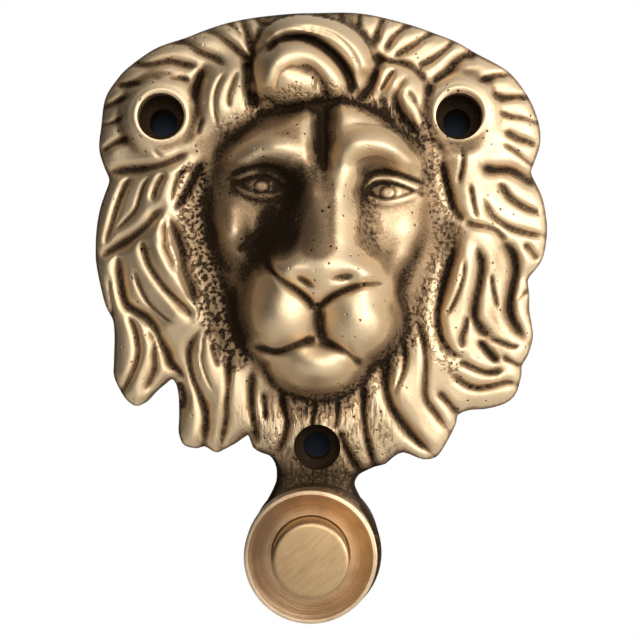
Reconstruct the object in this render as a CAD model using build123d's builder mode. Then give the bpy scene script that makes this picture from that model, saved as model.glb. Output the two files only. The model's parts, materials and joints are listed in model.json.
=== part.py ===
"""Bell push on a cast lion mask, for the wall beside a door.

A brass casting (a lion's head, a neck and a round boss) carries a turned push insert.  The insert goes into
the boss from the front and is held by a ring nut behind the boss's wall.  The button slides in it against a
coil spring and bridges two contact studs at the end of its travel.

Frame: the wall is the plane y = 0, the mask faces -Y, +Z is up, and the origin lies on the wall plane behind
the middle of the mask.  Plane.XZ looks the same way, so every height below is a distance out from the wall.
"""

import os
from math import asin, cos, degrees, radians, sin, sqrt

from build123d import *

# ------------------------------------------------------------------ casting: driving dimensions
MANE_LOBES = [  # the mask's outline, clockwise from the left ear: each lobe runs from one notch to the next
    [(-40.9, 27.9), (-42.9, 34.0), (-42.0, 43.2), (-36.6, 50.8), (-25.4, 56.4), (-9.1, 60.8), (9.1, 61.2),
     (26.4, 56.3), (39.6, 48.8), (44.9, 38.6), (43.3, 29.7)],
    [(43.3, 29.7), (45.3, 24.9), (46.5, 18.0), (45.1, 11.2), (42.7, 7.9)],
    [(42.7, 7.9), (43.0, 3.0), (43.7, -3.6), (41.6, -9.0)],
    [(41.6, -9.0), (40.7, -14.2), (37.6, -16.9), (33.0, -17.9), (28.8, -18.8)],
    [(28.8, -18.8), (25.4, -26.2), (22.4, -27.8), (19.3, -26.8), (16.8, -26.6)],
    [(16.8, -26.6), (14.2, -28.8), (9.1, -30.7)],
]
BEARD_LOBES = [  # the same outline's left half, clockwise from the neck up to the left ear
    [(-8.9, -27.2), (-10.7, -26.5), (-12.2, -25.4), (-13.0, -23.2)],
    [(-13.0, -23.2), (-15.8, -24.7), (-19.4, -26.4), (-21.7, -25.3)],
    [(-21.7, -25.3), (-23.9, -25.6), (-26.2, -24.7), (-27.0, -19.5), (-27.3, -13.5), (-28.2, -11.9)],
    [(-28.2, -11.9), (-32.5, -15.2), (-35.4, -17.2), (-38.2, -14.7), (-39.9, -8.0), (-40.1, 0.0)],
    [(-40.1, 0.0), (-43.2, 9.1), (-43.5, 15.2), (-42.5, 22.4), (-40.9, 27.9)],
]
NECK_RIGHT = [(9.1, -30.7), (7.95, -32.7), (9.6, -36.2)]  # from the beard down to the boss
NECK_LEFT = [(-9.2, -36.2), (-7.25, -30.8), (-7.7, -29.0), (-8.9, -27.2)]  # from the boss up to the beard

mane_middle_x, mane_middle_z = 1.5, 18.0
mane_height = 13.0  # at its middle
mane_edge_height = 6.5  # at the outline
mane_reach = 44.0
lock_count = 26  # furrows round the mane
furrow_radius = 2.4
furrow_depth = 1.1
furrow_start = 27.0  # distance from the mane's middle
furrow_swirl = 14.0  # degrees off the radius

screw_hole_radius = 2.75  # for 5 mm round-head screws
screw_head_radius = 4.6
screw_seat_height = 6.5  # the wall side of each counterbore
screw_pillar_radius = 7.0  # solid metal round each screw, through the hollow
ear_spacing = 58.3
ear_middle = -0.8
ear_height = 39.8
ear_hole_drop = 0.6  # the drilled hole sits this much under its counterbore
chin_x, chin_z = 0.6, -25.0
hollow_radius = 36.5  # of the hollow back, about the mane's middle
hollow_height = 4.5
face_pocket = (14.0, 15.0, 10.5)  # half width, half height, ceiling

# ------------------------------------------------------------------ push insert: driving dimensions
push_x, push_z = -0.6, -45.0  # the button's axis
boss_x = 0.2  # the cast boss's own middle, a little off the bored hole and its pocket
boss_height = 15.0
boss_wall = 3.5  # the boss's front wall, which the ring nut pulls against
boss_side_wall = 2.3
neck_join = 62.0  # degrees each side of straight up where the neck runs into the boss

button_radius = 7.3
button_clearance = 0.1
button_wall = 1.5
button_face = 2.0
button_edge = 0.5
button_rise = 4.5  # the button's face above the rim
travel = 2.2
collar_lip = 0.7  # keeps the button in the bezel
collar_thickness = 1.0
collar_seat = 1.5  # the collar's front face behind the boss's front, at rest

barrel_wall = 0.9  # makes an M18 barrel round this button
barrel_clearance = 0.1
barrel_rear = 5.0  # the barrel's back end, which leaves this much room for the wires
flange_overhang = 3.7
flange_rim = 5.5  # rim height above the boss
rim_width = 0.8
dish_depth = 3.3
dish_hollow = 0.8  # how far the dish's curve sinks under a straight cone
edge_break = 0.3
fit_gap = 0.05  # each side, where one turned piece sits in another

base_thickness = 2.6
well_floor = 1.2  # thickness of the base under the well
stud_radius = 0.8
stud_length = 4.6  # below the well's floor
stud_head_radius = 1.3
stud_head = 0.8
nut_across_flats = 3.2
fixing_nut = 1.0
wire_washer = 0.3
wire_washer_radius = 1.85
terminal_nut = 1.3

plunger_disc = 2.0
stem_radius = 1.9
spigot_radius = 0.9
spigot_tail = 0.25  # beyond the clip
strip_thickness = 0.4
strip_width = 3.0
strip_overhang = 1.1  # beyond the studs' axes
strip_clearance = 0.15  # in the well
contact_gap = 0.02  # left between strip and studs at full travel, so that nothing bites
clip_thickness = 0.4
clip_clearance = 0.15  # to the studs' heads
spring_wire = 0.7
spring_turns = 6.5
spring_clearance = 0.3  # in the button's skirt
spring_end_gap = 0.02
well_margin = 0.1  # from the spring's seat to the well

circlip_width = 1.5
circlip_thickness = 0.6
circlip_opening = 3.4
circlip_groove_depth = 0.4
circlip_groove_lip = 0.3  # of the barrel behind the groove
ring_nut_wall = 1.2
ring_nut_thickness = 2.4
ring_nut_clearance = 0.4  # to the pocket's wall
ring_nut_slots = 4
ring_nut_slot = (2.0, 0.7)  # width and depth
lock_washer_thickness = 0.4
lock_washer_notches = 16
lock_washer_notch = 0.6

# ------------------------------------------------------------------ sizes that follow
bore_radius = button_radius + button_clearance
collar_radius = button_radius + collar_lip
rear_bore_radius = collar_radius + button_clearance
barrel_radius = rear_bore_radius + barrel_wall
boss_hole_radius = barrel_radius + barrel_clearance
flange_radius = barrel_radius + flange_overhang
ring_nut_radius = barrel_radius + ring_nut_wall
boss_pocket_radius = ring_nut_radius + ring_nut_clearance
boss_radius = boss_pocket_radius + boss_side_wall
circlip_groove_radius = rear_bore_radius + circlip_groove_depth
circlip_outer = circlip_groove_radius - fit_gap
skirt_radius = button_radius - button_wall
spring_radius = skirt_radius - spring_clearance - spring_wire / 2
well_radius = spring_radius - spring_wire / 2 - well_margin
strip_length = 2 * (sqrt(well_radius**2 - (strip_width / 2) ** 2) - strip_clearance)
stud_spacing = strip_length - 2 * strip_overhang
clip_radius = stud_spacing / 2 - stud_head_radius - clip_clearance

rim_height = boss_height + flange_rim
dish_height = rim_height - dish_depth
face_front = rim_height + button_rise
face_back = face_front - button_face
collar_height = boss_height - collar_seat
washer_front = boss_height - boss_wall
nut_front = washer_front - lock_washer_thickness
groove_rear = barrel_rear + circlip_groove_lip
base_rear = groove_rear + circlip_thickness + 2 * fit_gap
base_front = base_rear + base_thickness
well_height = base_rear + well_floor
stud_top = well_height + stud_head
strip_back = stud_top + travel + contact_gap
stem_end = strip_back + strip_thickness
spring_top = face_back - plunger_disc

# ------------------------------------------------------------------ the face, as named rounded masses
# name: (x, z, radius where it meets the base, height at the top, height of the base)
FACE_MASSES = {
    "skull": (1.5, 20.0, 25.0, 17.0, 8.0),
    "left_brow": (-8.0, 31.5, 11.0, 19.5, 13.5),
    "right_brow": (11.5, 32.0, 11.0, 19.5, 13.5),
    "left_cheek": (-12.5, 15.5, 10.0, 17.5, 11.5),
    "right_cheek": (15.0, 15.0, 10.0, 17.5, 11.5),
    "left_muzzle": (-5.6, 1.8, 8.0, 26.0, 17.5),
    "right_muzzle": (7.8, 1.0, 8.0, 26.0, 17.5),
    "chin": (0.9, -7.2, 8.5, 22.0, 14.0),
    "forelock": (-1.0, 48.5, 13.0, 19.0, 9.5),
    "left_ear": (-29.9, 39.8, 11.5, 13.0, 8.5),
    "right_ear": (28.4, 39.8, 11.5, 13.0, 8.5),
    "beard": (0.6, -20.0, 15.0, 13.5, 7.0),
}
MUZZLE = (1.2, 2.5, 15.5, 8.5, 24.0)  # x, z, radius at the wall, radius at its top, height of its top
EYES = [(-10.2, 26.0), (14.2, 25.2)]
eye_radius, eye_height = 3.2, 14.5  # the eyeball and its centre's height
socket_radius, socket_height = 5.0, 18.5
NOSE_SIDE = [  # height off the wall and z, down the middle of the nose
    (9.0, 36.0), (18.0, 34.5), (21.5, 28.0), (27.8, 13.5), (29.6, 10.8), (29.6, 9.0), (27.5, 5.5), (9.0, 4.0),
]
nose_x, nose_width = 2.4, 10.0
nose_rounding = 2.2


def facing(x, z, height=0.0):
    """A plane parallel to the wall, seen from the front."""
    return Plane(origin=(x, -height, z), x_dir=(1, 0, 0), z_dir=(0, -1, 0))


def through(x, z):
    """A plane through an axis that stands off the wall at x, z: local X is the radius, local Y the height."""
    return Plane(origin=(x, 0, z), x_dir=(1, 0, 0), z_dir=(0, 0, -1))


def push_axis():
    return Axis((push_x, 0, push_z), (0, -1, 0))


def cap_radius(base_radius, rise):
    """Radius of the sphere whose cap has this base radius and this rise."""
    return (base_radius**2 + rise**2) / (2 * rise)


def ring(plane, outer, inner):
    """The flat ring between two radii."""
    with BuildSketch(plane) as flat:
        Circle(outer)
        Circle(inner, mode=Mode.SUBTRACT)
    return flat.sketch


# ------------------------------------------------------------------ the casting
neck_end_z = push_z + boss_radius * cos(radians(neck_join))
neck_right_end = (boss_x + boss_radius * sin(radians(neck_join)), neck_end_z)
neck_left_end = (boss_x - boss_radius * sin(radians(neck_join)), neck_end_z)
boss_foot = (boss_x, push_z - boss_radius)
ear_holes = [(ear_middle + side * ear_spacing / 2, ear_height) for side in (-1, 1)]
screw_holes = [(x, z - ear_hole_drop) for x, z in ear_holes] + [(chin_x, chin_z)]
counterbores = ear_holes + [(chin_x, chin_z)]

with BuildSketch(Plane.XZ) as mask_outline:
    with BuildLine():
        for lobe in MANE_LOBES:
            Spline(*lobe)
        Spline(*NECK_RIGHT, neck_right_end)
        ThreePointArc(neck_right_end, boss_foot, neck_left_end)
        Spline(neck_left_end, *NECK_LEFT)
        for lobe in BEARD_LOBES:
            Spline(*lobe)
    make_face()

with BuildPart() as hollow_back:
    with BuildSketch(facing(mane_middle_x, mane_middle_z)):
        Circle(hollow_radius)
    extrude(amount=hollow_height)
    with BuildSketch(facing(mane_middle_x, mane_middle_z)):
        Ellipse(face_pocket[0], face_pocket[1])
    extrude(amount=face_pocket[2])
    for x, z in screw_holes:
        with BuildSketch(facing(x, z)):
            Circle(screw_pillar_radius)
        extrude(amount=mane_height, mode=Mode.SUBTRACT)

with BuildPart() as nose:
    with BuildSketch(Plane(origin=(nose_x - nose_width / 2, 0, 0), x_dir=(0, -1, 0), z_dir=(1, 0, 0))):
        with BuildLine():
            Polyline(*[(height, -z) for height, z in NOSE_SIDE], close=True)
        make_face()
    extrude(amount=nose_width)
    fillet(nose.edges().filter_by(Plane.YZ).filter_by(lambda e: -e.center().Y > 17), nose_rounding)

with BuildPart() as lion_plate:
    extrude(mask_outline.sketch, amount=mane_height)
    dome_radius = cap_radius(mane_reach, mane_height - mane_edge_height)
    with Locations((mane_middle_x, dome_radius - mane_height, mane_middle_z)):
        Sphere(dome_radius, mode=Mode.INTERSECT)
    slope = degrees(asin(mane_reach / dome_radius)) * 0.8
    for lock in range(lock_count):
        turn = 360 / lock_count * (lock + 0.5)
        reach = furrow_start + furrow_radius
        drop = mane_height - dome_radius + sqrt(dome_radius**2 - reach**2)
        foot = (
            mane_middle_x + reach * cos(radians(turn)),
            -(drop + furrow_radius - furrow_depth),
            mane_middle_z + reach * sin(radians(turn)),
        )
        run = Vector(
            cos(radians(slope)) * cos(radians(turn + furrow_swirl)),
            sin(radians(slope)),
            cos(radians(slope)) * sin(radians(turn + furrow_swirl)),
        )
        with BuildSketch(Plane(origin=foot, z_dir=run)):
            Circle(furrow_radius)
        extrude(amount=mane_reach, mode=Mode.SUBTRACT)
    for x, z, base_radius, top, base in FACE_MASSES.values():
        radius = cap_radius(base_radius, top - base)
        with Locations((x, radius - top, z)):
            Sphere(radius)
    with BuildSketch(facing(MUZZLE[0], MUZZLE[1])):
        Circle(MUZZLE[2])
    with BuildSketch(facing(MUZZLE[0], MUZZLE[1], MUZZLE[4])):
        Circle(MUZZLE[3])
    loft()
    for x, z in EYES:
        with Locations((x, -socket_height, z)):
            Sphere(socket_radius, mode=Mode.SUBTRACT)
        with Locations((x, -eye_height, z)):
            Sphere(eye_radius)
    add(nose.part)
    extrude(mask_outline.sketch, amount=2 * mane_height + boss_height, mode=Mode.INTERSECT)
    with BuildSketch(facing(boss_x, push_z)):
        Circle(boss_radius)
    extrude(amount=boss_height)
    fillet(lion_plate.edges().filter_by(GeomType.CIRCLE).sort_by(Axis.Y)[0], edge_break)
    add(hollow_back.part, mode=Mode.SUBTRACT)
    with BuildSketch(facing(push_x, push_z)):
        Circle(boss_pocket_radius)
    extrude(amount=boss_height - boss_wall, mode=Mode.SUBTRACT)
    with BuildSketch(facing(push_x, push_z)):
        Circle(boss_hole_radius)
    extrude(amount=boss_height, mode=Mode.SUBTRACT)
    for x, z in screw_holes:
        with BuildSketch(facing(x, z)):
            Circle(screw_hole_radius)
        extrude(amount=mane_height, mode=Mode.SUBTRACT)
    for x, z in counterbores:
        with BuildSketch(facing(x, z, screw_seat_height)):
            Circle(screw_head_radius)
        extrude(amount=mane_height, mode=Mode.SUBTRACT)

# ------------------------------------------------------------------ the push insert's fixed pieces
with BuildPart() as bezel_ring:
    with BuildSketch(through(push_x, push_z)):
        with BuildLine():
            rim_inside = (flange_radius - rim_width, rim_height)
            dish_edge = (bore_radius + edge_break, dish_height)
            Polyline(
                (bore_radius, collar_height), (bore_radius, dish_height - edge_break), dish_edge,
            )
            dish_middle = (
                (dish_edge[0] + rim_inside[0] + dish_hollow) / 2,
                (dish_edge[1] + rim_inside[1]) / 2 - dish_hollow,
            )
            ThreePointArc(dish_edge, dish_middle, rim_inside)
            Polyline(
                rim_inside,
                (flange_radius - edge_break, rim_height),
                (flange_radius, rim_height - edge_break),
                (flange_radius, boss_height),
                (barrel_radius, boss_height),
                (barrel_radius, barrel_rear + edge_break),
                (barrel_radius - edge_break, barrel_rear),
                (rear_bore_radius, barrel_rear),
                (rear_bore_radius, groove_rear),
                (circlip_groove_radius, groove_rear),
                (circlip_groove_radius, base_rear),
                (rear_bore_radius, base_rear),
                (rear_bore_radius, collar_height),
                (bore_radius, collar_height),
            )
        make_face()
    revolve(axis=push_axis())

with BuildPart() as lock_washer:
    extrude(
        ring(facing(push_x, push_z, nut_front), ring_nut_radius, barrel_radius + fit_gap),
        amount=lock_washer_thickness,
    )
    with BuildSketch(facing(push_x, push_z, nut_front)):
        with PolarLocations(ring_nut_radius, lock_washer_notches):
            Rectangle(2 * lock_washer_notch, lock_washer_notch)
    extrude(amount=lock_washer_thickness, mode=Mode.SUBTRACT)

with BuildPart() as lock_nut:
    nut_back = facing(push_x, push_z, nut_front - ring_nut_thickness)
    extrude(ring(nut_back, ring_nut_radius, barrel_radius + fit_gap), amount=ring_nut_thickness)
    with BuildSketch(nut_back):
        with PolarLocations(ring_nut_radius, ring_nut_slots):
            Rectangle(2 * ring_nut_slot[1], ring_nut_slot[0])
    extrude(amount=ring_nut_thickness, mode=Mode.SUBTRACT)

with BuildPart() as contact_base:
    with BuildSketch(facing(push_x, push_z, base_rear)):
        Circle(rear_bore_radius - fit_gap)
    extrude(amount=base_thickness)
    with BuildSketch(facing(push_x, push_z, well_height)):
        Circle(well_radius)
    extrude(amount=base_thickness, mode=Mode.SUBTRACT)
    with BuildSketch(facing(push_x, push_z, base_rear)):
        with GridLocations(stud_spacing, 0, 2, 1):
            Circle(stud_radius + fit_gap)
    extrude(amount=base_thickness, mode=Mode.SUBTRACT)

with BuildPart() as base_circlip:
    extrude(
        ring(facing(push_x, push_z, groove_rear + fit_gap), circlip_outer, circlip_outer - circlip_width),
        amount=circlip_thickness,
    )
    with BuildSketch(facing(push_x, push_z, groove_rear)):
        with Locations((0, -circlip_outer)):
            Rectangle(circlip_opening, 3 * circlip_width)
    extrude(amount=2 * circlip_thickness, mode=Mode.SUBTRACT)


def stud_part(side):
    """One contact stud: a round head in the well and a shank out of the base's back."""
    x = push_x + side * stud_spacing / 2
    with BuildPart() as stud:
        with BuildSketch(facing(x, push_z, well_height)):
            Circle(stud_head_radius)
        extrude(amount=stud_head)
        with BuildSketch(facing(x, push_z, well_height - stud_length)):
            Circle(stud_radius)
        extrude(amount=stud_length)
    return stud.part


def nut_part(side, front, thickness):
    """One hexagon nut on a stud, its front face at the given height."""
    x = push_x + side * stud_spacing / 2
    with BuildPart() as nut:
        with BuildSketch(facing(x, push_z, front - thickness)):
            RegularPolygon(nut_across_flats / 2, 6, major_radius=False)
            Circle(stud_radius + fit_gap, mode=Mode.SUBTRACT)
        extrude(amount=thickness)
    return nut.part


def washer_part(side, front):
    """One wire washer on a stud, its front face at the given height."""
    x = push_x + side * stud_spacing / 2
    with BuildPart() as washer:
        extrude(
            ring(facing(x, push_z, front - wire_washer), wire_washer_radius, stud_radius + fit_gap),
            amount=wire_washer,
        )
    return washer.part


washer_height = base_rear - fixing_nut
terminal_height = washer_height - wire_washer

# ------------------------------------------------------------------ the push insert's moving pieces
with BuildPart() as push_button:
    with BuildSketch(through(push_x, push_z)):
        with BuildLine():
            Polyline(
                (0, face_back),
                (0, face_front),
                (button_radius - button_edge, face_front),
                (button_radius, face_front - button_edge),
                (button_radius, collar_height),
                (collar_radius, collar_height),
                (collar_radius, collar_height - collar_thickness),
                (skirt_radius, collar_height - collar_thickness),
                (skirt_radius, face_back),
                close=True,
            )
        make_face()
    revolve(axis=push_axis())

with BuildPart() as plunger:
    with BuildSketch(through(push_x, push_z)):
        with BuildLine():
            Polyline(
                (0, strip_back - clip_thickness - spigot_tail),
                (spigot_radius, strip_back - clip_thickness - spigot_tail),
                (spigot_radius, stem_end),
                (stem_radius, stem_end),
                (stem_radius, spring_top),
                (skirt_radius - fit_gap, spring_top),
                (skirt_radius - fit_gap, face_back),
                (0, face_back),
                close=True,
            )
        make_face()
    revolve(axis=push_axis())

with BuildPart() as bridge_contact:
    with BuildSketch(facing(push_x, push_z, strip_back)):
        Rectangle(strip_length, strip_width)
        Circle(spigot_radius + fit_gap, mode=Mode.SUBTRACT)
    extrude(amount=strip_thickness)

with BuildPart() as bridge_clip:
    extrude(
        ring(facing(push_x, push_z, strip_back - clip_thickness), clip_radius, spigot_radius + fit_gap),
        amount=clip_thickness,
    )

with BuildPart() as return_spring:
    coil_start = base_front + spring_wire / 2 + spring_end_gap
    coil_height = spring_top - base_front - spring_wire - 2 * spring_end_gap
    with BuildLine():
        coil = Helix(
            pitch=coil_height / spring_turns,
            height=coil_height,
            radius=spring_radius,
            center=(push_x, -coil_start, push_z),
            direction=(0, -1, 0),
        )
    with BuildSketch(Plane(origin=coil @ 0, z_dir=coil % 0)):
        Circle(spring_wire / 2)
    sweep(is_frenet=True)

# ------------------------------------------------------------------ files
NODES = {
    "lion_plate": lion_plate.part,
    "bezel_ring": bezel_ring.part,
    "lock_washer": lock_washer.part,
    "lock_nut": lock_nut.part,
    "contact_base": contact_base.part,
    "base_circlip": base_circlip.part,
    "push_button": push_button.part,
    "plunger": plunger.part,
    "bridge_contact": bridge_contact.part,
    "bridge_clip": bridge_clip.part,
    "return_spring": return_spring.part,
}
for name, side in (("left", -1), ("right", 1)):
    NODES[f"contact_stud_{name}"] = stud_part(side)
    NODES[f"fixing_nut_{name}"] = nut_part(side, base_rear, fixing_nut)
    NODES[f"wire_washer_{name}"] = washer_part(side, washer_height)
    NODES[f"terminal_nut_{name}"] = nut_part(side, terminal_height, terminal_nut)

os.makedirs("parts", exist_ok=True)
for name, node in NODES.items():
    node.label = name
    export_step(node, f"parts/{name}.step")
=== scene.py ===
"""A bell push on a cast brass lion mask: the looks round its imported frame, in metres."""

import json
from math import pi, radians, sin

import bpy
import numpy as np
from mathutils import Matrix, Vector


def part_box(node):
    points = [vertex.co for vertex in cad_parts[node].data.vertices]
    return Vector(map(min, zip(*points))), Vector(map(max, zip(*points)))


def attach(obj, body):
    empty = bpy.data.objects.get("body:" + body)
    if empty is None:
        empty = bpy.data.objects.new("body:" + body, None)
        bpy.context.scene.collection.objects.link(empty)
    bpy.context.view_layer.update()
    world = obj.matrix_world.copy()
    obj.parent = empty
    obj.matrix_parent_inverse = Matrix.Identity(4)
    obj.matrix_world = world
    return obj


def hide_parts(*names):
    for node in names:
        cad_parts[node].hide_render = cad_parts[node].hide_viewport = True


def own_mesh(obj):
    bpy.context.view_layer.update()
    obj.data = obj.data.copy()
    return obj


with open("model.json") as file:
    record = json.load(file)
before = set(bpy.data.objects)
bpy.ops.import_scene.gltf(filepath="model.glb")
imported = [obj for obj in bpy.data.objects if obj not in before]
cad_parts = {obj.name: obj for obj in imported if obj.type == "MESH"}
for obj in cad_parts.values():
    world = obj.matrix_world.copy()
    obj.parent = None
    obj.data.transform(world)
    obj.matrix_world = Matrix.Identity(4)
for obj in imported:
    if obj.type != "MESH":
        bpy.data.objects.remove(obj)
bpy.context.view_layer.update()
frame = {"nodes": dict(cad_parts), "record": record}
MM = 0.001


# ---------------------------------------------------------------- carving tools
def curve(points, step=0.5):
    """A smooth line through given points; extra columns are carried along."""
    p = np.array(points, float)
    q = np.vstack([2 * p[0] - p[1], p, 2 * p[-1] - p[-2]])
    out = []
    for a, b, c, d in zip(q[:-3], q[1:-2], q[2:-1], q[3:]):
        count = max(2, int(np.hypot(*(c[:2] - b[:2])) / step))
        t = np.linspace(0, 1, count, endpoint=False)[:, None]
        out.append(0.5 * (2 * b + (c - a) * t + (2 * a - 5 * b + 4 * c - d) * t**2 + (3 * b - a - 3 * c + d) * t**3))
    out.append(p[-1:])
    return np.vstack(out)


def ease(a, b, v):
    """0 below a, 1 above b, smooth between."""
    t = np.clip((v - a) / (b - a), 0, 1)
    return t * t * (3 - 2 * t)


def crossfade(a, b, k):
    """a where k is 0 and b where it is 1."""
    return a * (1 - k) + b * k


def blend_max(a, b, soft):
    """The higher of two surfaces, with the crease between them filled."""
    k = np.maximum(soft - np.abs(a - b), 0) / soft
    return np.maximum(a, b) + k * k * soft / 4


def blur(field, radius, step):
    """A soft copy of a field, averaged over about this radius."""
    reach = int(3 * radius / step) + 1
    k = np.exp(-0.5 * (np.arange(-reach, reach + 1) * step / radius) ** 2)
    k /= k.sum()
    f = np.pad(field, reach, mode="edge")
    down, across = (np.roll(np.pad(k, (0, n - len(k))), -reach) for n in f.shape)
    out = np.fft.irfft2(np.fft.rfft2(f) * np.fft.fft(down)[:, None] * np.fft.rfft(across)[None, :], s=f.shape)
    return out[reach:-reach, reach:-reach]


class Clay:
    """The relief while it is carved: a height at every point of an even grid of columns x and rows z."""

    def __init__(self, x, z):
        self.xs, self.zs = x, z
        self.x, self.z = np.meshgrid(x, z)
        self.step = abs(x[1] - x[0])
        # the dark colour laid on while carving: washes of patina and painted shade, less rubbed brass with painted
        # highlight
        self.h, self.cuts, self.darkening = (np.zeros_like(self.x) for _ in range(3))

    def window(self, low, high):
        """The rows and columns between two corners."""
        c0, c1 = np.searchsorted(self.xs, (low[0], high[0]))
        r0, r1 = np.searchsorted(self.zs, (low[1], high[1]))
        return slice(r0, r1), slice(c0, c1)

    def near(self, path, reach):
        """Near a line: the window it lies in, and there how far off each point is and how far along, 0 to 1."""
        win = self.window(path[:, :2].min(0) - reach, path[:, :2].max(0) + reach)
        r0, c0 = win[0].start, win[1].start
        shape = self.x[win].shape
        best = np.full(shape, reach**2 + 1e-6)
        at = np.zeros(shape)
        n = len(path) - 1
        for i in range(n):
            a, b = path[i, :2], path[i + 1, :2]
            rows, cols = self.window(np.minimum(a, b) - reach, np.maximum(a, b) + reach)
            part = (slice(rows.start - r0, rows.stop - r0), slice(cols.start - c0, cols.stop - c0))
            px, pz = self.x[rows, cols] - a[0], self.z[rows, cols] - a[1]
            ab = b - a
            s = np.clip((px * ab[0] + pz * ab[1]) / max(ab @ ab, 1e-9), 0, 1)
            d = (px - s * ab[0]) ** 2 + (pz - s * ab[1]) ** 2
            m = d < best[part]
            best[part] = np.where(m, d, best[part])
            at[part] = np.where(m, (i + s) / n, at[part])
        return win, np.sqrt(best), at

    def inside(self, points, reach=18.0):
        """Distance inside a closed line, up to the reach, and negative outside."""
        path = curve(points + points[:1], 0.8)
        win, d, _ = self.near(path, reach)
        far = np.full(self.x.shape, reach)
        far[win] = np.minimum(d, reach)
        odd = np.zeros(self.x.shape, bool)
        for (x0, z0), (x1, z1) in zip(path[:-1], path[1:]):
            rows = slice(*np.searchsorted(self.zs, (min(z0, z1), max(z0, z1))))
            if rows.stop > rows.start:
                z = self.z[rows]
                odd[rows] ^= self.x[rows] < (x1 - x0) * (z - z0) / (z1 - z0) + x0
        return np.where(odd, far, -far)

    def mound(self, x, z, rx, rz, top, turn=0, base=0, soft=1.5, power=2.0):
        """A rounded mass standing on the base height."""
        u, v = self.turned(x, z, rx, rz, turn)
        r = np.abs(u) ** power + np.abs(v) ** power
        m = base + (top - base) * np.sqrt(np.clip(1 - r, 0, 1))
        self.h = np.where(r < 1, blend_max(self.h, m, soft), self.h)

    def bump(self, x, z, rx, rz, rise, turn=0, power=2.0):
        """A soft rise or, with a negative rise, a soft hollow, added to what is there."""
        u, v = self.turned(x, z, rx, rz, turn)
        self.h += rise * np.exp(-((u * u + v * v) ** (power / 2)))

    def turned(self, x, z, rx, rz, turn):
        c, s = np.cos(np.radians(turn)), np.sin(np.radians(turn))
        return ((self.x - x) * c + (self.z - z) * s) / rx, ((self.z - z) * c - (self.x - x) * s) / rz

    def furrow(self, points, depth, reach, sharp=1.7, ends=(0.25, 0.25)):
        """A groove along a line with soft shoulders, running out at its ends. It waits in self.cuts."""
        win, d, at = self.near(curve(points), reach)
        cut = depth * np.clip(1 - d / reach, 0, 1) ** sharp
        cut *= ease(0, max(ends[0], 1e-6), at + 0.35 * ends[0]) * ease(0, max(ends[1], 1e-6), 1 - at + 0.35 * ends[1])
        self.cuts[win] = np.maximum(self.cuts[win], cut)

    def take_cuts(self):
        """Cuts all the furrows that wait, each as deep as its deepest where they cross."""
        self.h -= self.cuts
        self.cuts[:] = 0

    def welt(self, points, rise, reach, ends=(0.3, 0.3)):
        """A raised line, added to what is there."""
        win, d, at = self.near(curve(points), reach)
        up = rise * np.clip(1 - (d / reach) ** 2, 0, 1)
        up *= ease(0, max(ends[0], 1e-6), at) * ease(0, max(ends[1], 1e-6), 1 - at)
        self.h[win] += up


def draped(points, x, z):
    """A thin smooth sheet through given heights (x, z, height)."""
    p = np.array(points, float)

    def bend(dx, dz):
        r2 = dx * dx + dz * dz
        return 0.5 * r2 * np.log(r2 + 1e-9)

    n = len(p)
    a = np.zeros((n + 3, n + 3))
    a[:n, :n] = bend(p[:, None, 0] - p[None, :, 0], p[:, None, 1] - p[None, :, 1]) + 0.5 * np.eye(n)
    a[:n, n:] = np.column_stack([np.ones(n), p[:, :2]])
    a[n:, :n] = a[:n, n:].T
    w = np.linalg.solve(a, np.concatenate([p[:, 2], np.zeros(3)]))
    out = w[n] + w[n + 1] * x + w[n + 2] * z
    for (px, pz, _), k in zip(p, w[:n]):
        out = out + k * bend(x - px, z - pz)
    return out


# ---------------------------------------------------------------- the lion, as drawn, in mm
OUTLINE = [
    (0, 60.3), (6, 60.4), (10, 60.1), (14, 59.3), (19.5, 57.8), (24, 56.2), (28, 54.6), (32, 52.3), (36, 50.2),
    (38.5, 48.5), (41, 45.5), (43, 42), (44.3, 38), (44.4, 34.5), (43.3, 31), (42.6, 29), (43.5, 27), (45, 23.5),
    (45.8, 18), (45.2, 13), (44.2, 10.8), (43, 9.3), (42, 7.8), (42.3, 5), (42.3, 2), (42.8, -1), (43, -3.5),
    (42, -7), (40.8, -9), (40.8, -10.5), (39.9, -14), (38.5, -15.8), (36.5, -16.8), (33.5, -17.5), (30.5, -17.7),
    (28.3, -18.6), (28, -20), (27, -22.3), (25, -25.8), (23.8, -27), (22, -27.4), (20.5, -27.1), (17.5, -26),
    (15.5, -27), (14, -28.3), (12, -28.8), (10, -29.7), (8.8, -30.4), (8, -31.8), (8.3, -33.5), (9.5, -36),
    (10.2, -39), (10, -46), (0, -50), (-9.5, -46), (-9.9, -39), (-9.6, -36.6), (-8.3, -34), (-7.4, -31.5),
    (-7.4, -29), (-8, -27.5), (-8.8, -26.6), (-10.5, -26), (-12, -25), (-12.8, -22.8), (-13.5, -22.9),
    (-15.5, -24.3), (-17.8, -25.5), (-18.9, -26), (-20, -25.7), (-21.5, -24.8), (-22.8, -25.2), (-24.5, -25),
    (-25.8, -24.3), (-26.6, -22), (-26.5, -19), (-26.6, -15), (-27, -12.8), (-27.7, -11.7), (-28.5, -11.8),
    (-30, -13), (-31.5, -14.3), (-33.5, -16.4), (-35, -16.9), (-36.5, -16), (-37.8, -14.3), (-39.3, -11),
    (-39.3, -8), (-39.2, -3), (-39.5, 0), (-40.3, 1.5), (-41.3, 4), (-42.7, 10.5), (-42.9, 14), (-42.7, 18),
    (-42, 22), (-41, 25), (-40.2, 27.5), (-41, 29.5), (-42.2, 33.5), (-41.8, 38), (-41, 43.5), (-38.5, 47.5),
    (-36, 50), (-31, 53.4), (-25, 55.5), (-21.5, 56.9), (-16.8, 58.4), (-11, 59.5), (-4, 60.2),
]
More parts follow.
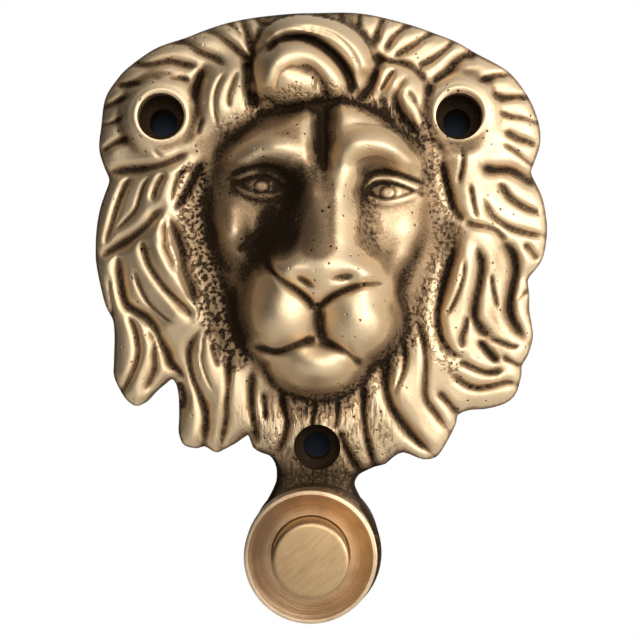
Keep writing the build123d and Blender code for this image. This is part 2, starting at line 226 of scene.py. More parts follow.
FACE_EDGE = [
    (-20.5, 28), (-21, 22), (-20.3, 16), (-18.2, 10), (-16.6, 5), (-15.5, 0), (-13.5, -4.5), (-10.5, -8.5),
    (-6.5, -12.5), (0, -14.3), (6, -13), (10, -9.5), (14, -5), (16, 0), (16.3, 4), (17.8, 9), (20.5, 13.5),
    (22.5, 18), (22.8, 24), (22, 29), (20.2, 33.5), (16, 38), (11, 41.3), (5, 43.5), (0, 42.3), (-6, 40.3),
    (-10, 38.9), (-14, 36.8), (-17, 34.2), (-19, 31.5),
]
FACE_HEIGHTS = [
    # forehead
    (-6, 40, 15.5), (0, 41, 17), (2.4, 40, 16.6), (6, 41, 17.5), (10.5, 39.5, 17),
    (-19, 33, 11.5), (-15, 36, 14), (-10, 37, 17.8), (-5, 37, 19.2), (0, 36.5, 19), (2.3, 36, 18.2),
    (5, 37, 19.4), (10, 37, 19.8), (15, 36.5, 17.6), (19, 34, 14),
    # brows
    (-19.5, 30, 12), (-16, 31.8, 16), (-12, 32.5, 19.2), (-8, 33, 20.6), (-4, 32, 20.6), (0, 32, 20),
    (2.1, 31.5, 19.4), (4.5, 32, 20.8), (8, 33.5, 21), (12, 34, 20.8), (16, 33, 19.6), (19, 31, 16.8),
    (21.7, 30, 12.2),
    # under the brows
    (-19, 27, 12.8), (-15.5, 28.6, 14.8), (-10, 29.6, 15.4), (-6, 29, 16.2), (-3, 28.5, 19), (0, 28, 21.2),
    (2, 28, 21.3), (4.5, 28, 21.8), (7, 28.3, 20.2), (10, 28.8, 16.4), (14, 29.3, 15.6), (18, 28.2, 15.2),
    (21, 27.6, 13.2),
    # eyes
    (-15.5, 26.2, 14.2), (-10.3, 26.4, 15.6), (-6.5, 26, 14.6), (-3.5, 25.5, 17.5), (-0.8, 25, 22.2),
    (2, 25, 22.8), (5, 25, 22.6), (7.8, 25.2, 18.6), (10.6, 25.2, 15.2), (14.4, 25.2, 16), (20.5, 25, 14.2),
    # under the eyes
    (-20, 22, 12.2), (-16, 21.5, 16), (-12, 21.5, 14.6), (-8, 21.5, 15.6), (-4.4, 21.5, 18.6), (-1.2, 21, 23),
    (2, 21, 24.6), (5, 21, 24.2), (7.8, 21, 21.4), (11, 21, 17.6), (15, 21.3, 17.2), (19, 21.3, 15.8),
    (22.3, 22, 12.4),
    # cheeks and bridge
    (-19.4, 17, 12.2), (-16, 17, 16.4), (-13, 16.5, 14.2), (-8, 16.5, 17), (-4.6, 16.5, 20.8), (-1.4, 16.5, 24.8),
    (2, 16.5, 26.6), (5.4, 16.5, 26), (8.2, 16.5, 22.8), (12, 17, 18.2), (16, 17, 17.6), (19, 17, 16),
    (21.8, 17, 12.4),
    (-18, 12, 12.2), (-15, 12.5, 14.6), (-11.5, 12.5, 16), (-8.6, 12.8, 20), (-5.5, 13, 24.2), (-2, 13, 27),
    (2, 13, 28.4), (6, 13, 27.8), (9, 12.8, 25.4), (11.8, 13, 20.6), (15, 13, 17.2), (18, 13, 15.6), (19.8, 13, 13),
    # nose tip
    (-16.8, 7, 12.2), (-13.5, 8.5, 16), (-10.8, 9.5, 19.5), (-7.6, 10.4, 26), (-4, 10.8, 28.4), (2.2, 10.4, 29.5),
    (8, 10.3, 28.8), (11, 9.6, 27), (13.8, 10, 20.6), (16, 8.5, 17), (17.8, 7.5, 14),
    (-3.4, 7.6, 27.6), (2, 6, 27.4), (7, 7.4, 27.6), (1.2, 3.4, 25.6),
    # muzzle pads
    (-15.6, 2, 12.4), (-13.4, 3, 17.4), (-11, 3, 22.6), (-8.5, 6, 25), (-6.5, 2.4, 26.8), (-2.6, 1.5, 25.6),
    (1.6, 1, 23.6), (5, 1.5, 25.6), (8.6, 1, 26.8), (12.4, 3, 24.6), (14.8, 2, 20.4), (16.6, 2, 15.6),
    (-13.2, -2.5, 14.5), (-11, -2.5, 20.2), (-6.5, -2.6, 25), (-1, -2.2, 23.2), (2.3, -2.6, 22.2), (8, -3.4, 25),
    (12.2, -2.8, 21.8), (15, -3, 16.4),
    # mouth and chin
    (-10.6, -6.3, 15.5), (-6, -6, 20.4), (0, -4.8, 21.4), (2.5, -4.8, 21), (8, -7.6, 20.6), (11.4, -7.6, 14),
    (-8.6, -9.5, 13.2), (-5, -8.8, 20), (1.2, -8.4, 22.8), (5.8, -9.2, 20.2), (9, -10, 13.2),
    (-5.5, -12.3, 13), (1, -12, 19.4), (5.6, -12.2, 13.4), (0.6, -14.6, 10.5),
]

BIG, LOCK, STRAND = (2.4, 2.3), (1.6, 1.45), (1, 0.85)  # depth and reach of a furrow

FURROWS = [
    # upper left rim
    (LOCK, [(-28.5, 54.8), (-25, 54.3), (-22.5, 52.7), (-19.5, 51.4), (-17.7, 50.1)]),
    (LOCK, [(-21.7, 56.8), (-19.5, 56.3), (-17, 54.6), (-15, 52.9), (-13.3, 51.5), (-12, 50.3)]),
    (STRAND, [(-17, 58.4), (-15.5, 57.3), (-14, 55.8)]),
    (LOCK, [(-14.3, 58.9), (-13.3, 56.5), (-12.5, 54), (-11.5, 51.5)]),
    (STRAND, [(-11.5, 59.4), (-10.3, 58.2), (-8, 57.8)]),
    (STRAND, [(-6.8, 60), (-5, 58.8)]),
    (STRAND, [(-3, 60.2), (-1.6, 59)]),
    (STRAND, [(0.8, 60.2), (2.6, 58.7)]),
    (LOCK, [(-36, 50.2), (-32.5, 50.2), (-28.5, 50.8), (-25.5, 50.2), (-23, 49.7)]),
    (STRAND, [(-31.5, 47.7), (-29, 47), (-26.5, 47.5), (-24, 47)]),
    (LOCK, [(-39, 46), (-36, 46.3), (-33.5, 46.1), (-31.3, 46)]),
    (LOCK, [(-41.5, 41.5), (-38.5, 43), (-36, 43.8), (-34, 44.3)]),
    (STRAND, [(-41.7, 38.2), (-39, 39), (-37, 40.5), (-35.7, 41.8)]),
    (LOCK, [(-41.7, 33), (-39.5, 34.5), (-37.5, 35.3), (-36.6, 36)]),
    (BIG, [(-40.3, 29), (-37, 29.3), (-34, 29.6), (-30.5, 30.3), (-27.5, 31.5), (-24.8, 33)]),
    (STRAND, [(-31.5, 34), (-30.5, 32.3), (-29, 31.5)]),
    (BIG, [(-21.8, 49.5), (-22.8, 46.5), (-24, 43), (-25, 40), (-25, 37.5)]),
    (STRAND, [(-17.7, 48.4), (-19, 46), (-19.6, 43.5), (-19.5, 41), (-18.8, 38.3)]),
    (STRAND, [(-14.8, 49.2), (-16, 46.5), (-16.8, 44), (-16.7, 41.7)]),
    (STRAND, [(-21.8, 39.8), (-22.5, 38), (-22.9, 36.5)]),
    (BIG, [(-13.5, 50.5), (-12, 49), (-11.5, 46.5), (-11.5, 43.5), (-11, 41.5)]),
    # left side, ear to cheek
    (LOCK, [(-36, 28.5), (-37.5, 25.5), (-38.8, 22), (-40, 18), (-41.2, 14.5)]),
    (STRAND, [(-31.7, 28.9), (-33.3, 26.8), (-34.3, 24), (-35.2, 21.5), (-37.5, 19), (-39.8, 17)]),
    (LOCK, [(-29.5, 29), (-31, 26), (-31.7, 23.5)]),
    (STRAND, [(-24.8, 30), (-26.5, 28.3), (-27.5, 26), (-28, 23)]),
    (LOCK, [(-22, 31), (-24.5, 26), (-26, 23.5), (-27.5, 21.6)]),
    (BIG, [(-30, 22), (-33, 18.5), (-36, 16), (-40, 13.5), (-42, 12.3)]),
    (LOCK, [(-29.5, 20), (-29.3, 16), (-29.5, 14.5), (-28.3, 12), (-27, 9.6)]),
    (BIG, [(-28.3, 20), (-27, 16.5), (-26, 13.5), (-25.5, 10), (-24, 6), (-23.5, 3)]),
    # lower left
    (BIG, [(-34, 16), (-33.3, 13.5), (-32.5, 11), (-31, 8.5), (-29.3, 6.3), (-27, 4), (-25, 2), (-24.3, 0.5)]),
    (BIG, [(-38.7, 13), (-38.2, 9.5), (-37.8, 6.5), (-37, 3.5), (-35.5, 2), (-33, 0.5), (-31.3, -1.5), (-30.2, -4),
           (-28.8, -6.5), (-28, -8.5), (-26, -10.5), (-24.8, -12.5)]),
    (STRAND, [(-35.2, 9.3), (-34.3, 6.5), (-32.7, 3.5), (-30.8, 1.6), (-28.8, 0), (-27.8, -0.4)]),
    (STRAND, [(-40.4, 8.5), (-40, 5), (-39.5, 2), (-39.8, 0.3)]),
    (LOCK, [(-36.8, 1.5), (-35.3, -1.5), (-34.6, -5), (-34.8, -8), (-36, -11), (-37.8, -14.3)]),
    (LOCK, [(-33, -1.5), (-31.5, -4), (-31.3, -7), (-31.3, -9.5), (-32.3, -12), (-33.3, -14)]),
    (BIG, [(-26.5, -12), (-25.5, -15), (-26.3, -17.5)]),
    (BIG, [(-22.5, -2), (-24.2, -5), (-24.5, -8), (-23.8, -11.5), (-22.3, -15), (-21.3, -18), (-21.3, -21),
           (-21.8, -24.5)]),
    (STRAND, [(-19, -2), (-21.5, -3), (-22, -6), (-22, -8.5), (-21, -11.5), (-19.8, -13.9)]),
    (STRAND, [(-20, -4.5), (-19.5, -7), (-18.7, -9.2)]),
    (LOCK, [(-16.8, -8), (-16.8, -12), (-17.2, -16), (-17.3, -19.5), (-18, -23), (-18.3, -25)]),
    (LOCK, [(-12, -10), (-12.3, -14), (-12.2, -18), (-11.5, -21.5), (-11.3, -24)]),
    (STRAND, [(-10, -14.5), (-9.7, -17), (-9.5, -19.5)]),
    (LOCK, [(-6.5, -14), (-6, -17), (-5.3, -20), (-5.8, -23), (-7, -26)]),
    (STRAND, [(0.3, -16), (-0.3, -19), (-0.5, -21)]),
    (STRAND, [(4.6, -15), (4.6, -18), (4.2, -21.5)]),
    # lower right
    (LOCK, [(9.6, -12.5), (9.7, -16), (9.7, -19), (10.3, -23), (11, -26), (11.8, -28.5)]),
    (LOCK, [(5, -21.8), (6, -24.5), (7.5, -27.5), (8.8, -29.3)]),
    (BIG, [(14, -6), (14, -10), (14.2, -13.5), (15.2, -17), (17.5, -20.5), (20, -23.5), (22, -25.3), (23.8, -26.4)]),
    (STRAND, [(17.3, -4.3), (17.9, -7), (17.5, -10), (16.3, -13), (15, -15.7)]),
    (LOCK, [(20.7, -1), (21.5, -4), (21.9, -8), (21.8, -12), (22, -15.5), (24, -18.5), (26.7, -22.3)]),
    (LOCK, [(24.5, -14.2), (26.3, -16.2), (28.2, -18.3)]),
    (LOCK, [(27.5, -11), (29.5, -12.5), (32, -13.3), (35, -12.9), (38, -12.2), (40, -12.9)]),
    (LOCK, [(28.5, -8), (31, -9.3), (34, -10.3), (37, -10)]),
    (STRAND, [(37, -7.3), (39, -8.3), (40.5, -9)]),
    (LOCK, [(32.5, -4), (34, -6), (36, -8.2)]),
    (STRAND, [(34, -3.3), (36.5, -4.3), (39, -5.2), (40.7, -5)]),
    (BIG, [(32, 14.5), (32.8, 11), (32.4, 7), (31.7, 3.5), (31.6, 0.5), (32.8, -1.8), (34.5, -3.5)]),
    (BIG, [(37, 15.8), (39, 13), (39.6, 9.5), (38.9, 6), (38.4, 3), (38.8, 0.5), (40.2, -2), (42, -4.2)]),
    (STRAND, [(34.8, 9), (35.2, 6), (36.3, 2.3)]),
    (STRAND, [(29.6, 11.6), (29.2, 8), (28, 4.5), (26.5, 1.8), (25.2, 0.3)]),
    (LOCK, [(30.5, 1), (29.8, -1.5), (29, -3.5), (29, -5.8)]),
    (BIG, [(27.5, 14), (26, 9), (24.8, 4), (24.3, 0.5), (25, -3.5), (26.8, -6.3), (29, -7.3)]),
    (STRAND, [(42, 6), (40.5, 4.5), (39, 3.7)]),
    (LOCK, [(41.3, 15), (43, 13), (44, 11.8)]),
    # upper right rim
    (STRAND, [(5, 60.2), (5.8, 58.5)]),
    (STRAND, [(8.9, 60), (8.8, 57.5)]),
    (LOCK, [(13.5, 59.3), (12.6, 57), (12, 54.5)]),
    (LOCK, [(19, 57.9), (17.5, 57.3), (15.5, 55.5), (14, 53)]),
    (LOCK, [(23.5, 56.3), (21.5, 55.5), (19.5, 54), (17.5, 52.8), (15.5, 51.5)]),
    (LOCK, [(27.5, 54.8), (25, 52.5), (22.5, 50.8), (20, 49.7)]),
    (BIG, [(32, 52), (29.5, 51.8), (27.5, 50.3), (26, 48.5), (23.5, 46.5)]),
    (LOCK, [(38.3, 48), (36, 48), (34, 47.3), (31.5, 46.6), (29, 47)]),
    (LOCK, [(42, 43.5), (40, 43.8), (37, 43.6), (34, 44.5)]),
    (STRAND, [(44, 38.5), (41.5, 39.5), (38.5, 40), (36.5, 40.8)]),
    (LOCK, [(43.7, 34), (42, 35), (40, 35.6), (37.5, 37)]),
    (STRAND, [(43, 30.3), (41.5, 31.3), (39.5, 33), (37.3, 34.5)]),
    (BIG, [(43.3, 26.3), (41, 28), (38.5, 29.3), (35, 29.5), (33, 30)]),
    (LOCK, [(44.5, 21), (41.5, 22), (38.5, 24), (36.5, 27)]),
    (LOCK, [(45.3, 16.5), (42, 17), (38, 18.3), (35, 20.5), (33.5, 23.5)]),
    (LOCK, [(29.5, 19.5), (31.5, 18.7), (34, 18.3), (36, 17.5), (38, 15)]),
    (STRAND, [(28.8, 35.3), (29.3, 31.5), (28.5, 27)]),
    (STRAND, [(30.7, 26.5), (31.3, 23), (32, 20)]),
    (BIG, [(22.5, 46.5), (23, 43.5), (23.2, 40), (24.5, 37), (25, 33.5)]),
    (LOCK, [(25.2, 31), (26, 27), (27.5, 22), (29.5, 19.5)]),
    (LOCK, [(15.8, 49.3), (14.3, 47.3), (13, 45)]),
    (STRAND, [(12.3, 49.7), (11.5, 46.5)]),
    (LOCK, [(18, 47.8), (16.7, 45.5), (16, 43.5), (17.5, 40), (20, 37)]),
    (STRAND, [(18.2, 45.3), (20.3, 42), (21.8, 39.5)]),
    (LOCK, [(11, 52), (14, 51), (17, 50.6), (19.5, 49.5), (22, 47)]),
]


def band(c, points, width, soft):
    """1 along a line and 0 away from it."""
    path = curve(points, 1.0)
    win, d, _ = c.near(path, width + soft)
    out = np.zeros_like(c.h)
    out[win] = ease(width + soft, width, d)
    return out


def shifted(line, rise):
    return [(x, z + rise) for x, z in line]


def darken(c, washes, strength=1.0):
    """Leaves dark colour along lines. Each wash is a line, its width and softness in mm, and how dark it is."""
    for line, width, soft, dark in washes:
        c.darkening = np.maximum(c.darkening, dark * strength * band(c, line, width, soft))


def carve_base(c):
    """The ground: a rim rounded at the outline, the mane's swell round the face, and the low neck."""
    c.edge, c.face = c.inside(OUTLINE), c.inside(FACE_EDGE)

    def rounded(rim, rise, width):
        return rim + rise * (1 - np.exp(-np.maximum(c.edge, 0) / width))

    c.h = rounded(6.2, 2.8, 1.4) + 2.6 * ease(3, 15, c.edge)
    c.h -= 0.5 * np.exp(-((c.face + 3.4) / 2.4) ** 2) * ease(44, 34, c.z)
    c.h += 1.6 * np.exp(-((c.face + 9.5) / 4.5) ** 2) * ease(46, 36, c.z)
    c.h = crossfade(c.h, rounded(5.6, 3.2, 1.6), ease(-24, -30, c.z))


def carve_mane(c):
    """Locks that stand over the others, then every furrow."""
    c.bump(-16.6, 44.2, 5.2, 6.6, 2.2, turn=-14, power=4)
    c.bump(19.6, 43.2, 3.4, 6.2, 1.8, turn=28, power=4)
    c.bump(14.6, 47.4, 2.8, 3.4, 1.4, turn=20, power=4)
    c.bump(-30.5, 12.5, 4.6, 9.0, 1.3, turn=28, power=4)
    c.bump(33.0, 8.5, 5.2, 9.0, 1.3, turn=-8, power=4)
    c.bump(-22.0, -7.0, 3.6, 8.0, 1.0, turn=-6, power=4)
    for (depth, reach), line in FURROWS:
        c.furrow(line, depth, reach)
    c.take_cuts()


def carve_face(c):
    """The face's sheet let into the mane, then its pads, eyes, brows and cuts."""
    win = c.window((-24, -18), (26, 46))
    face = draped(FACE_HEIGHTS, c.x[win], c.z[win])
    c.h[win] = crossfade(c.h[win], face, ease(-2.6, 2.6, c.face[win]))
    # muzzle pads and chin
    c.mound(-6.3, 1.4, 6.6, 7.3, 27.4, turn=8, base=18, soft=3.5)
    c.mound(8.6, -0.4, 7.0, 6.5, 27.2, turn=-10, base=18, soft=3.5)
    c.mound(1.2, -8.9, 7.6, 5.2, 22.8, base=14, soft=3.0)
    for edge in (
        [(-11.0, 7.2), (-12.7, 4), (-13.1, 0), (-11.8, -3.8)],
        [(12.8, 5.0), (15.2, 2), (15.8, -1.5), (14.4, -5), (11, -7.0)],
        [(-6.6, -9.5), (-4.6, -12.4), (1.2, -14.2), (6.8, -12.4), (8.8, -9.8)],
    ):
        c.h = crossfade(c.h, blur(c.h, 1.6, c.step), band(c, edge, 1.0, 2.4))
    # the left eye's dark lines are painted darker than the right's: painted shade, that side being turned from the
    # light
    carve_eye(c, -10.3, 26.4, 2.9, LEFT_LIDS, (-7.7, 26.2), 1.0)
    carve_eye(c, 14.5, 25.2, 3.3, RIGHT_LIDS, (17.6, 25.2), 0.65)
    # brow arches and the edge of the bridge
    c.welt([(-16.5, 31.6), (-13, 32.0), (-9, 33.4), (-5, 33.0), (-2.6, 30.5)], 0.8, 3.2)
    c.welt([(4.5, 29.5), (5.2, 32), (8, 34.3), (12.5, 35.2), (17, 33.8), (19.6, 30.6), (20.6, 27.5)], 1.8, 3.0)
    c.welt([(7.2, 30), (6.5, 25), (6.1, 18), (6.6, 13)], 0.7, 3.0)
    c.furrow([(-9.6, 12.4), (-8.6, 10.2), (-7.2, 8.6), (-5.5, 7.3), (-3, 5.6), (-1, 3.8), (0.2, 2.0)], 2.6, 1.7,
             ends=(0.3, 0.1))
    c.furrow([(13.5, 7.2), (10, 7.0), (7, 6.2), (4, 4.9), (1.9, 3.4), (0.8, 2.0)], 2.4, 1.6, ends=(0.3, 0.1))
    c.furrow([(0.6, 3.6), (0.9, 1), (1.2, -1.5), (1.8, -4.0)], 2.4, 1.8, sharp=1.4, ends=(0.1, 0.2))
    c.furrow([(-11.8, -5.2), (-8, -6.1), (-5, -5.3), (-2.5, -4.4), (0.5, -3.6)], 2.2, 1.6)
    c.furrow([(0.9, -3.6), (4.5, -5.2), (7, -6.9), (9.4, -8.8)], 1.8, 1.5)
    c.furrow([(1.8, 44), (1.7, 40), (1.7, 36), (1.9, 32), (2.2, 28.5)], 3.4, 3.6, sharp=1.0, ends=(0.02, 0.6))
    c.furrow([(5.5, 38.2), (9, 38.6), (12.5, 38.2), (16, 36.7), (18.5, 34.6), (20.5, 31.6)], 0.6, 1.8)
    c.furrow([(-15.2, 13.4), (-12.8, 15.2), (-10, 17.5)], 0.8, 1.6)
    c.take_cuts()
    c.bump(-1.9, 7.5, 2.0, 1.0, -1.8, turn=-32)
    c.bump(6.0, 8.4, 2.2, 0.9, -1.6, turn=8)


LEFT_LIDS = (
    [(-16.0, 27.4), (-13.4, 28.4), (-10, 28.9), (-7.2, 28.0), (-5.6, 26.0)],
    [(-15.8, 26.8), (-13.4, 25.1), (-10.8, 24.3), (-8.0, 24.5), (-5.8, 25.6)],
)
RIGHT_LIDS = (
    [(10.2, 25.4), (11.2, 27.2), (13.5, 27.8), (16, 27.5), (19, 26.5), (21.2, 25.5)],
    [(10.4, 25.0), (11.8, 23.8), (14, 23.1), (17, 23.6), (19.5, 24.5), (21.2, 25.3)],
)


def carve_eye(c, x, z, radius, lids, spot, dark):
    """An almond eye: the ball, its lids and the ring cut round its iris."""
    c.bump(x + 0.6, z, radius * 1.2, radius * 0.6, 0.8, power=3)
    upper, lower = lids
    c.welt(upper, 0.65, 0.8, ends=(0.12, 0.12))
    c.welt(lower, 0.45, 0.7, ends=(0.12, 0.12))
    fold, under_lid = shifted(upper, 1.4), shifted(upper, -0.75)
    c.furrow(fold, 0.7, 1.1)
    c.furrow(under_lid, 0.55, 0.8)
    c.furrow(shifted(lower, 0.65), 0.4, 0.6)
    iris = [(x + 1.5 * np.cos(t), z - 0.15 + 1.2 * np.sin(t)) for t in np.linspace(0, 2 * np.pi, 13)]
    c.furrow(iris, 0.42, 0.5, ends=(0, 0))
    c.take_cuts()
    # dark lines under the upper lid, in its fold, under the lower lid and round the iris: patina in the creases with
    # painted shade
    shades = (
        (under_lid, 0.15, 0.7, 0.85), (fold, 0.1, 0.9, 0.55), (shifted(lower, 0.6), 0.1, 0.6, 0.6),
        (iris, 0.1, 0.45, 0.8),
    )
    darken(c, shades, dark)
    c.bump(x, z - 0.15, 0.45, 0.45, -0.3)
    c.bump(spot[0], spot[1], 0.8, 0.5, -0.3)


def carve_forelock(c):
    """The curl over the brow, in two strands."""
    c.mound(-0.4, 50.0, 11.8, 9.6, 17.0, turn=-10, base=8, soft=3.0, power=2.3)
    # the outer strand, over the top and down the right
    c.welt([(-9.6, 54.2), (-7.0, 57.4), (-2, 58.6), (3, 57.9), (7, 55.3), (9.9, 51.5), (10.8, 47.2)], 2.4, 2.8,
           ends=(0.1, 0.1))
    # the inner strand: a thick arch, fullest on the left
    c.bump(-7.6, 47.2, 4.4, 5.6, 3.4, turn=-10, power=2.6)
    c.welt([(-10.2, 43.0), (-10.2, 47), (-8.8, 50.6), (-5.4, 52.6), (-1.4, 52.2), (1.9, 50.0), (4.3, 46.8),
            (5.8, 43.2)], 2.8, 3.0, ends=(0.12, 0.1))
    c.bump(-1.5, 46.0, 3.4, 3.4, 1.6)
    c.furrow([(-9.4, 52.6), (-6.8, 55.0), (-3, 55.5), (0.6, 54.3), (4.0, 51.6), (6.4, 48.3), (7.6, 44.6)], 3.4, 1.9,
             ends=(0.15, 0.1))
    c.furrow([(-3.5, 57.6), (0, 57.2), (3.6, 56.1), (6.6, 53.7), (8.4, 50.9), (9.0, 48.3)], 0.9, 0.9)
    c.furrow([(-2.2, 50.2), (-0.2, 49.2), (1.4, 47.4), (2.6, 45.0), (3.0, 43.0)], 1.3, 1.6)
    c.furrow([(-12.9, 50.5), (-12.8, 46), (-12.2, 42)], 2.8, 1.8, ends=(0.2, 0.1))
    c.furrow([(12.6, 52), (12.2, 48.5), (10.8, 45.4), (8.4, 43.4)], 2.4, 1.8)
    c.furrow([(-11.5, 40.6), (-8, 41.0), (-4, 41.8), (0, 42.7), (4, 43.2), (8, 42.6), (12, 41.0), (16, 38.4)], 0.8, 1.8,
             ends=(0.1, 0.1))
    c.take_cuts()


def carve_ears(c):
    """A low cup round each ear's screw hole, with a raised lip."""
    for x, z in ((-30.1, 40.2), (28.7, 40.6)):
        r = np.hypot(c.x - x, c.z - z)
        cup = 11.6 + 0.6 * np.exp(-(((r - 5.1) / 0.5) ** 2)) - 0.8 * ease(5.6, 9.0, r)
        c.h = crossfade(c.h, cup, ease(8.8, 6.2, r))


PITTED_LEFT = [(-24, 28), (-24, 22), (-23.5, 17), (-22, 11), (-20.5, 6), (-20, 1), (-18, -3), (-15.5, -7)]
PITTED_RIGHT = [
    (21.5, 37), (23, 31), (24.5, 26), (25.5, 21), (26, 16), (24.5, 11), (23, 6), (21.5, 2), (19.5, -2),
    (16, -6.5), (12, -11), (8, -14.6), (2, -16.6), (-4, -15.8),
]
PITTED_BRANCH = [(23, -1), (24, -5), (27, -9)]


# where dark colour was left when the brass was rubbed, with painted shade added where the face is turned from the light
# and in its hollows; and where hands and cloth have kept it bright, with a painted highlight added
PATINA_AND_SHADE_WASHES = [
    # painted shade, with patina: the left flank of the nose, down past the nose wing and round the left of the muzzle,
    # turned from the light
    ([(-2.0, 28), (-3.2, 24), (-4.6, 20), (-6.4, 15.5), (-9.2, 12.4)], 1.8, 3.2, 0.74),
    ([(-8.2, 21), (-9.8, 17), (-11.8, 13.4)], 0.8, 3.0, 0.70),
    ([(-12.5, 14.0), (-13.8, 9), (-14.3, 3), (-13.8, -3)], 0.8, 2.6, 0.50),
    # painted shade, with patina: under the left brow and round the left eye, much darker than round the right eye
    ([(-14.5, 31.0), (-9, 30.6), (-5.0, 29.0), (-4.2, 25)], 0.9, 2.2, 0.45),
    ([(-16, 27.6), (-10, 26.6), (-6, 26)], 2.6, 3.4, 0.58),
    ([(11.5, 25.4), (15, 25.2), (19, 25.2)], 1.2, 1.6, 0.12),
    # painted shade down the middle of the bridge, and over the sheen on the left cheek
    ([(0.4, 29), (0.8, 22), (0.8, 15.5)], 2.4, 3.0, 0.46),
    ([(-17.5, 24), (-17, 19), (-15.4, 13)], 2.8, 3.4, 0.50),
    # painted shade, with patina, along the outer edges of the muzzle pads, darker on the left
    ([(-10.6, 3), (-10.8, -1), (-9, -3.6)], 0.8, 3.0, 0.24),
    ([(14, 2), (14.4, -3), (12, -7)], 0.4, 2.4, 0.16),
    ([(18.5, 21), (18, 15), (16, 10)], 1.8, 3.4, 0.22),
    ([(27, 16), (28, 8), (29, 2)], 1.6, 4.0, 0.20),
    ([(31, 46), (30, 36), (31, 26)], 1.6, 5.0, 0.20),
    ([(36, 12), (37, 4), (36, -6)], 1.6, 5.0, 0.20),
    ([(-17, 33), (-10, 35), (-4, 35)], 2.4, 3.0, 0.32),
    # the brow crease: patina in the crease with painted shade
    ([(0.9, 42.5), (0.9, 38), (1.3, 34)], 1.3, 0.8, 0.62),
    ([(1.3, 36), (1.6, 33), (2.1, 30)], 0.6, 0.9, 0.60),
    ([(3.4, 42), (3.1, 38), (2.6, 34)], 1.0, 1.4, 0.34),
    ([(9.5, 26), (9.6, 21), (9.8, 16)], 0.6, 2.2, 0.12),
    # painted shade under the right brow arch
    ([(9.4, 29.6), (12.4, 31.2), (16.6, 30.6)], 0.6, 2.0, 0.24),
    ([(-20, 31), (-17, 35), (-11, 39), (-5, 41), (2, 42.6), (9, 41.8), (15, 38.6), (20, 33)], 0.4, 2.2, 0.22),
    ([(-20, 31), (-20.6, 24), (-19.6, 16), (-17.0, 8), (-15.4, 1)], 0.6, 2.4, 0.25),
    ([(-36, 36), (-37.4, 40), (-36, 44.5), (-32, 47.6)], 0.8, 2.6, 0.20),
    ([(-23.5, 36), (-23.0, 41), (-24.0, 46)], 0.8, 2.2, 0.28),
    ([(22.0, 36), (21.2, 41), (22.4, 46)], 0.8, 2.2, 0.28),
    ([(-14, 50.5), (-5, 54.9), (1, 54), (6, 49)], 0.3, 1.4, 0.25),
    # painted shadow in the hollow on the forelock's right
    ([(-1, 54.6), (3.2, 52.4), (5.8, 49.6), (7.0, 46)], 0.7, 1.3, 0.50),
]
# rubbed brass made lighter, with a painted highlight: the right brow arch, on the side of the light, and the top of the
# forelock's inner arch
RUBBED_AND_PAINTED_HIGHLIGHT = [
    ([(5.5, 30), (6.5, 33), (10, 35.2), (15, 34.8), (18.6, 32)], 2.4, 2.6, 0.26),
    ([(-8, 50), (-5, 53), (0, 52.4), (3.4, 49)], 1.0, 1.6, 0.12),
]


def mark_pits(c):
    """Where the casting is pitted, where it is darker and rougher, where short fur is scratched in, and the washes:
    patina and painted shade, lightened where the brass is rubbed and a highlight is painted.
    """
    c.pitted = np.maximum.reduce([
        band(c, PITTED_LEFT, 1.9, 1.8), 0.6 * band(c, PITTED_RIGHT, 1.5, 1.8), 0.7 * band(c, PITTED_BRANCH, 1.2, 1.5),
        0.5 * band(c, [(10.0, 24), (10.5, 20), (10.8, 15)], 1.0, 2.4),
    ])
    # darker and rougher towards the bottom: the neck, the lower middle of the beard, and along the pitted band on the
    # left
    c.dull = 0.86 * ease(-26.5, -31.0, c.z) + 0.22 * ease(-8, -20, c.z) * ease(24, 10, np.abs(c.x - 1))
    c.dull += 0.22 * band(c, PITTED_LEFT, 2.0, 2.4)
    c.fur = np.maximum.reduce([
        band(c, [(-11.5, 42.4), (-6, 43.4), (-1, 44.6), (4, 44.8), (9, 43.4), (14, 41.0), (18, 37.4)], 1.4, 1.8),
        0.6 * band(c, [(-18, 37.5), (-13, 40.5), (-9, 42)], 0.6, 1.8),
        0.55 * ease(-13, -19, c.z) * ease(-32, -27, c.z) * ease(20, 10, np.abs(c.x - 1)),
    ])
    # patina and painted shade, as dark washes
    darken(c, PATINA_AND_SHADE_WASHES)
    # lighter: rubbed brass with a painted highlight
    for line, width, soft, bright in RUBBED_AND_PAINTED_HIGHLIGHT:
        c.darkening -= bright * band(c, line, width, soft)


def carve(c):
    carve_base(c)
    carve_mane(c)
    carve_ears(c)
    carve_face(c)
    carve_forelock(c)
    c.h = blur(c.h, 0.22, c.step)
    mark_pits(c)


# ---------------------------------------------------------------- places, from the frame
MOUNTS = {m["name"]: m for m in frame["record"]["mounts"]}
EARS = ("ear_hole_left", "ear_hole_right")
SCREWS = (*EARS, "chin_hole")
ring_low, ring_high = (np.array(c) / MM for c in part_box("bezel_ring"))
PUSH_X, PUSH_Z = (ring_low[0] + ring_high[0]) / 2, (ring_low[2] + ring_high[2]) / 2
BOSS_X = PUSH_X + 0.8
BOSS_RADIUS = 12.9
BOSS_HEIGHT = 15.0
COUNTERBORE_RADIUS = 4.6
COUNTERBORE_SEAT = 6.5  # how far the screws' seats stand off the wall
THROUGH = 40.0  # further off the wall than any of the mask
HOLLOW_X, HOLLOW_Z = 1.5, 18.0  # the middle of the hollow in the back
NUT_ROOM_RADIUS, NUT_ROOM_DEPTH, BARREL_BORE_RADIUS = 10.6, 11.5, 9.1
WIRE_RADIUS, COIL_RADIUS, COIL_TURNS = 0.35, 5.15, 6.5
COIL_START, COIL_RISE = 8.97, 11.66  # the middle of the wire where it starts, and how far it climbs
CLAY_STEP, QUICK_CLAY_STEP = 0.34, 0.7
VIEW_DISTANCE = 310.0  # the mask is drawn as it looks from here
VIEW_X = 1.18
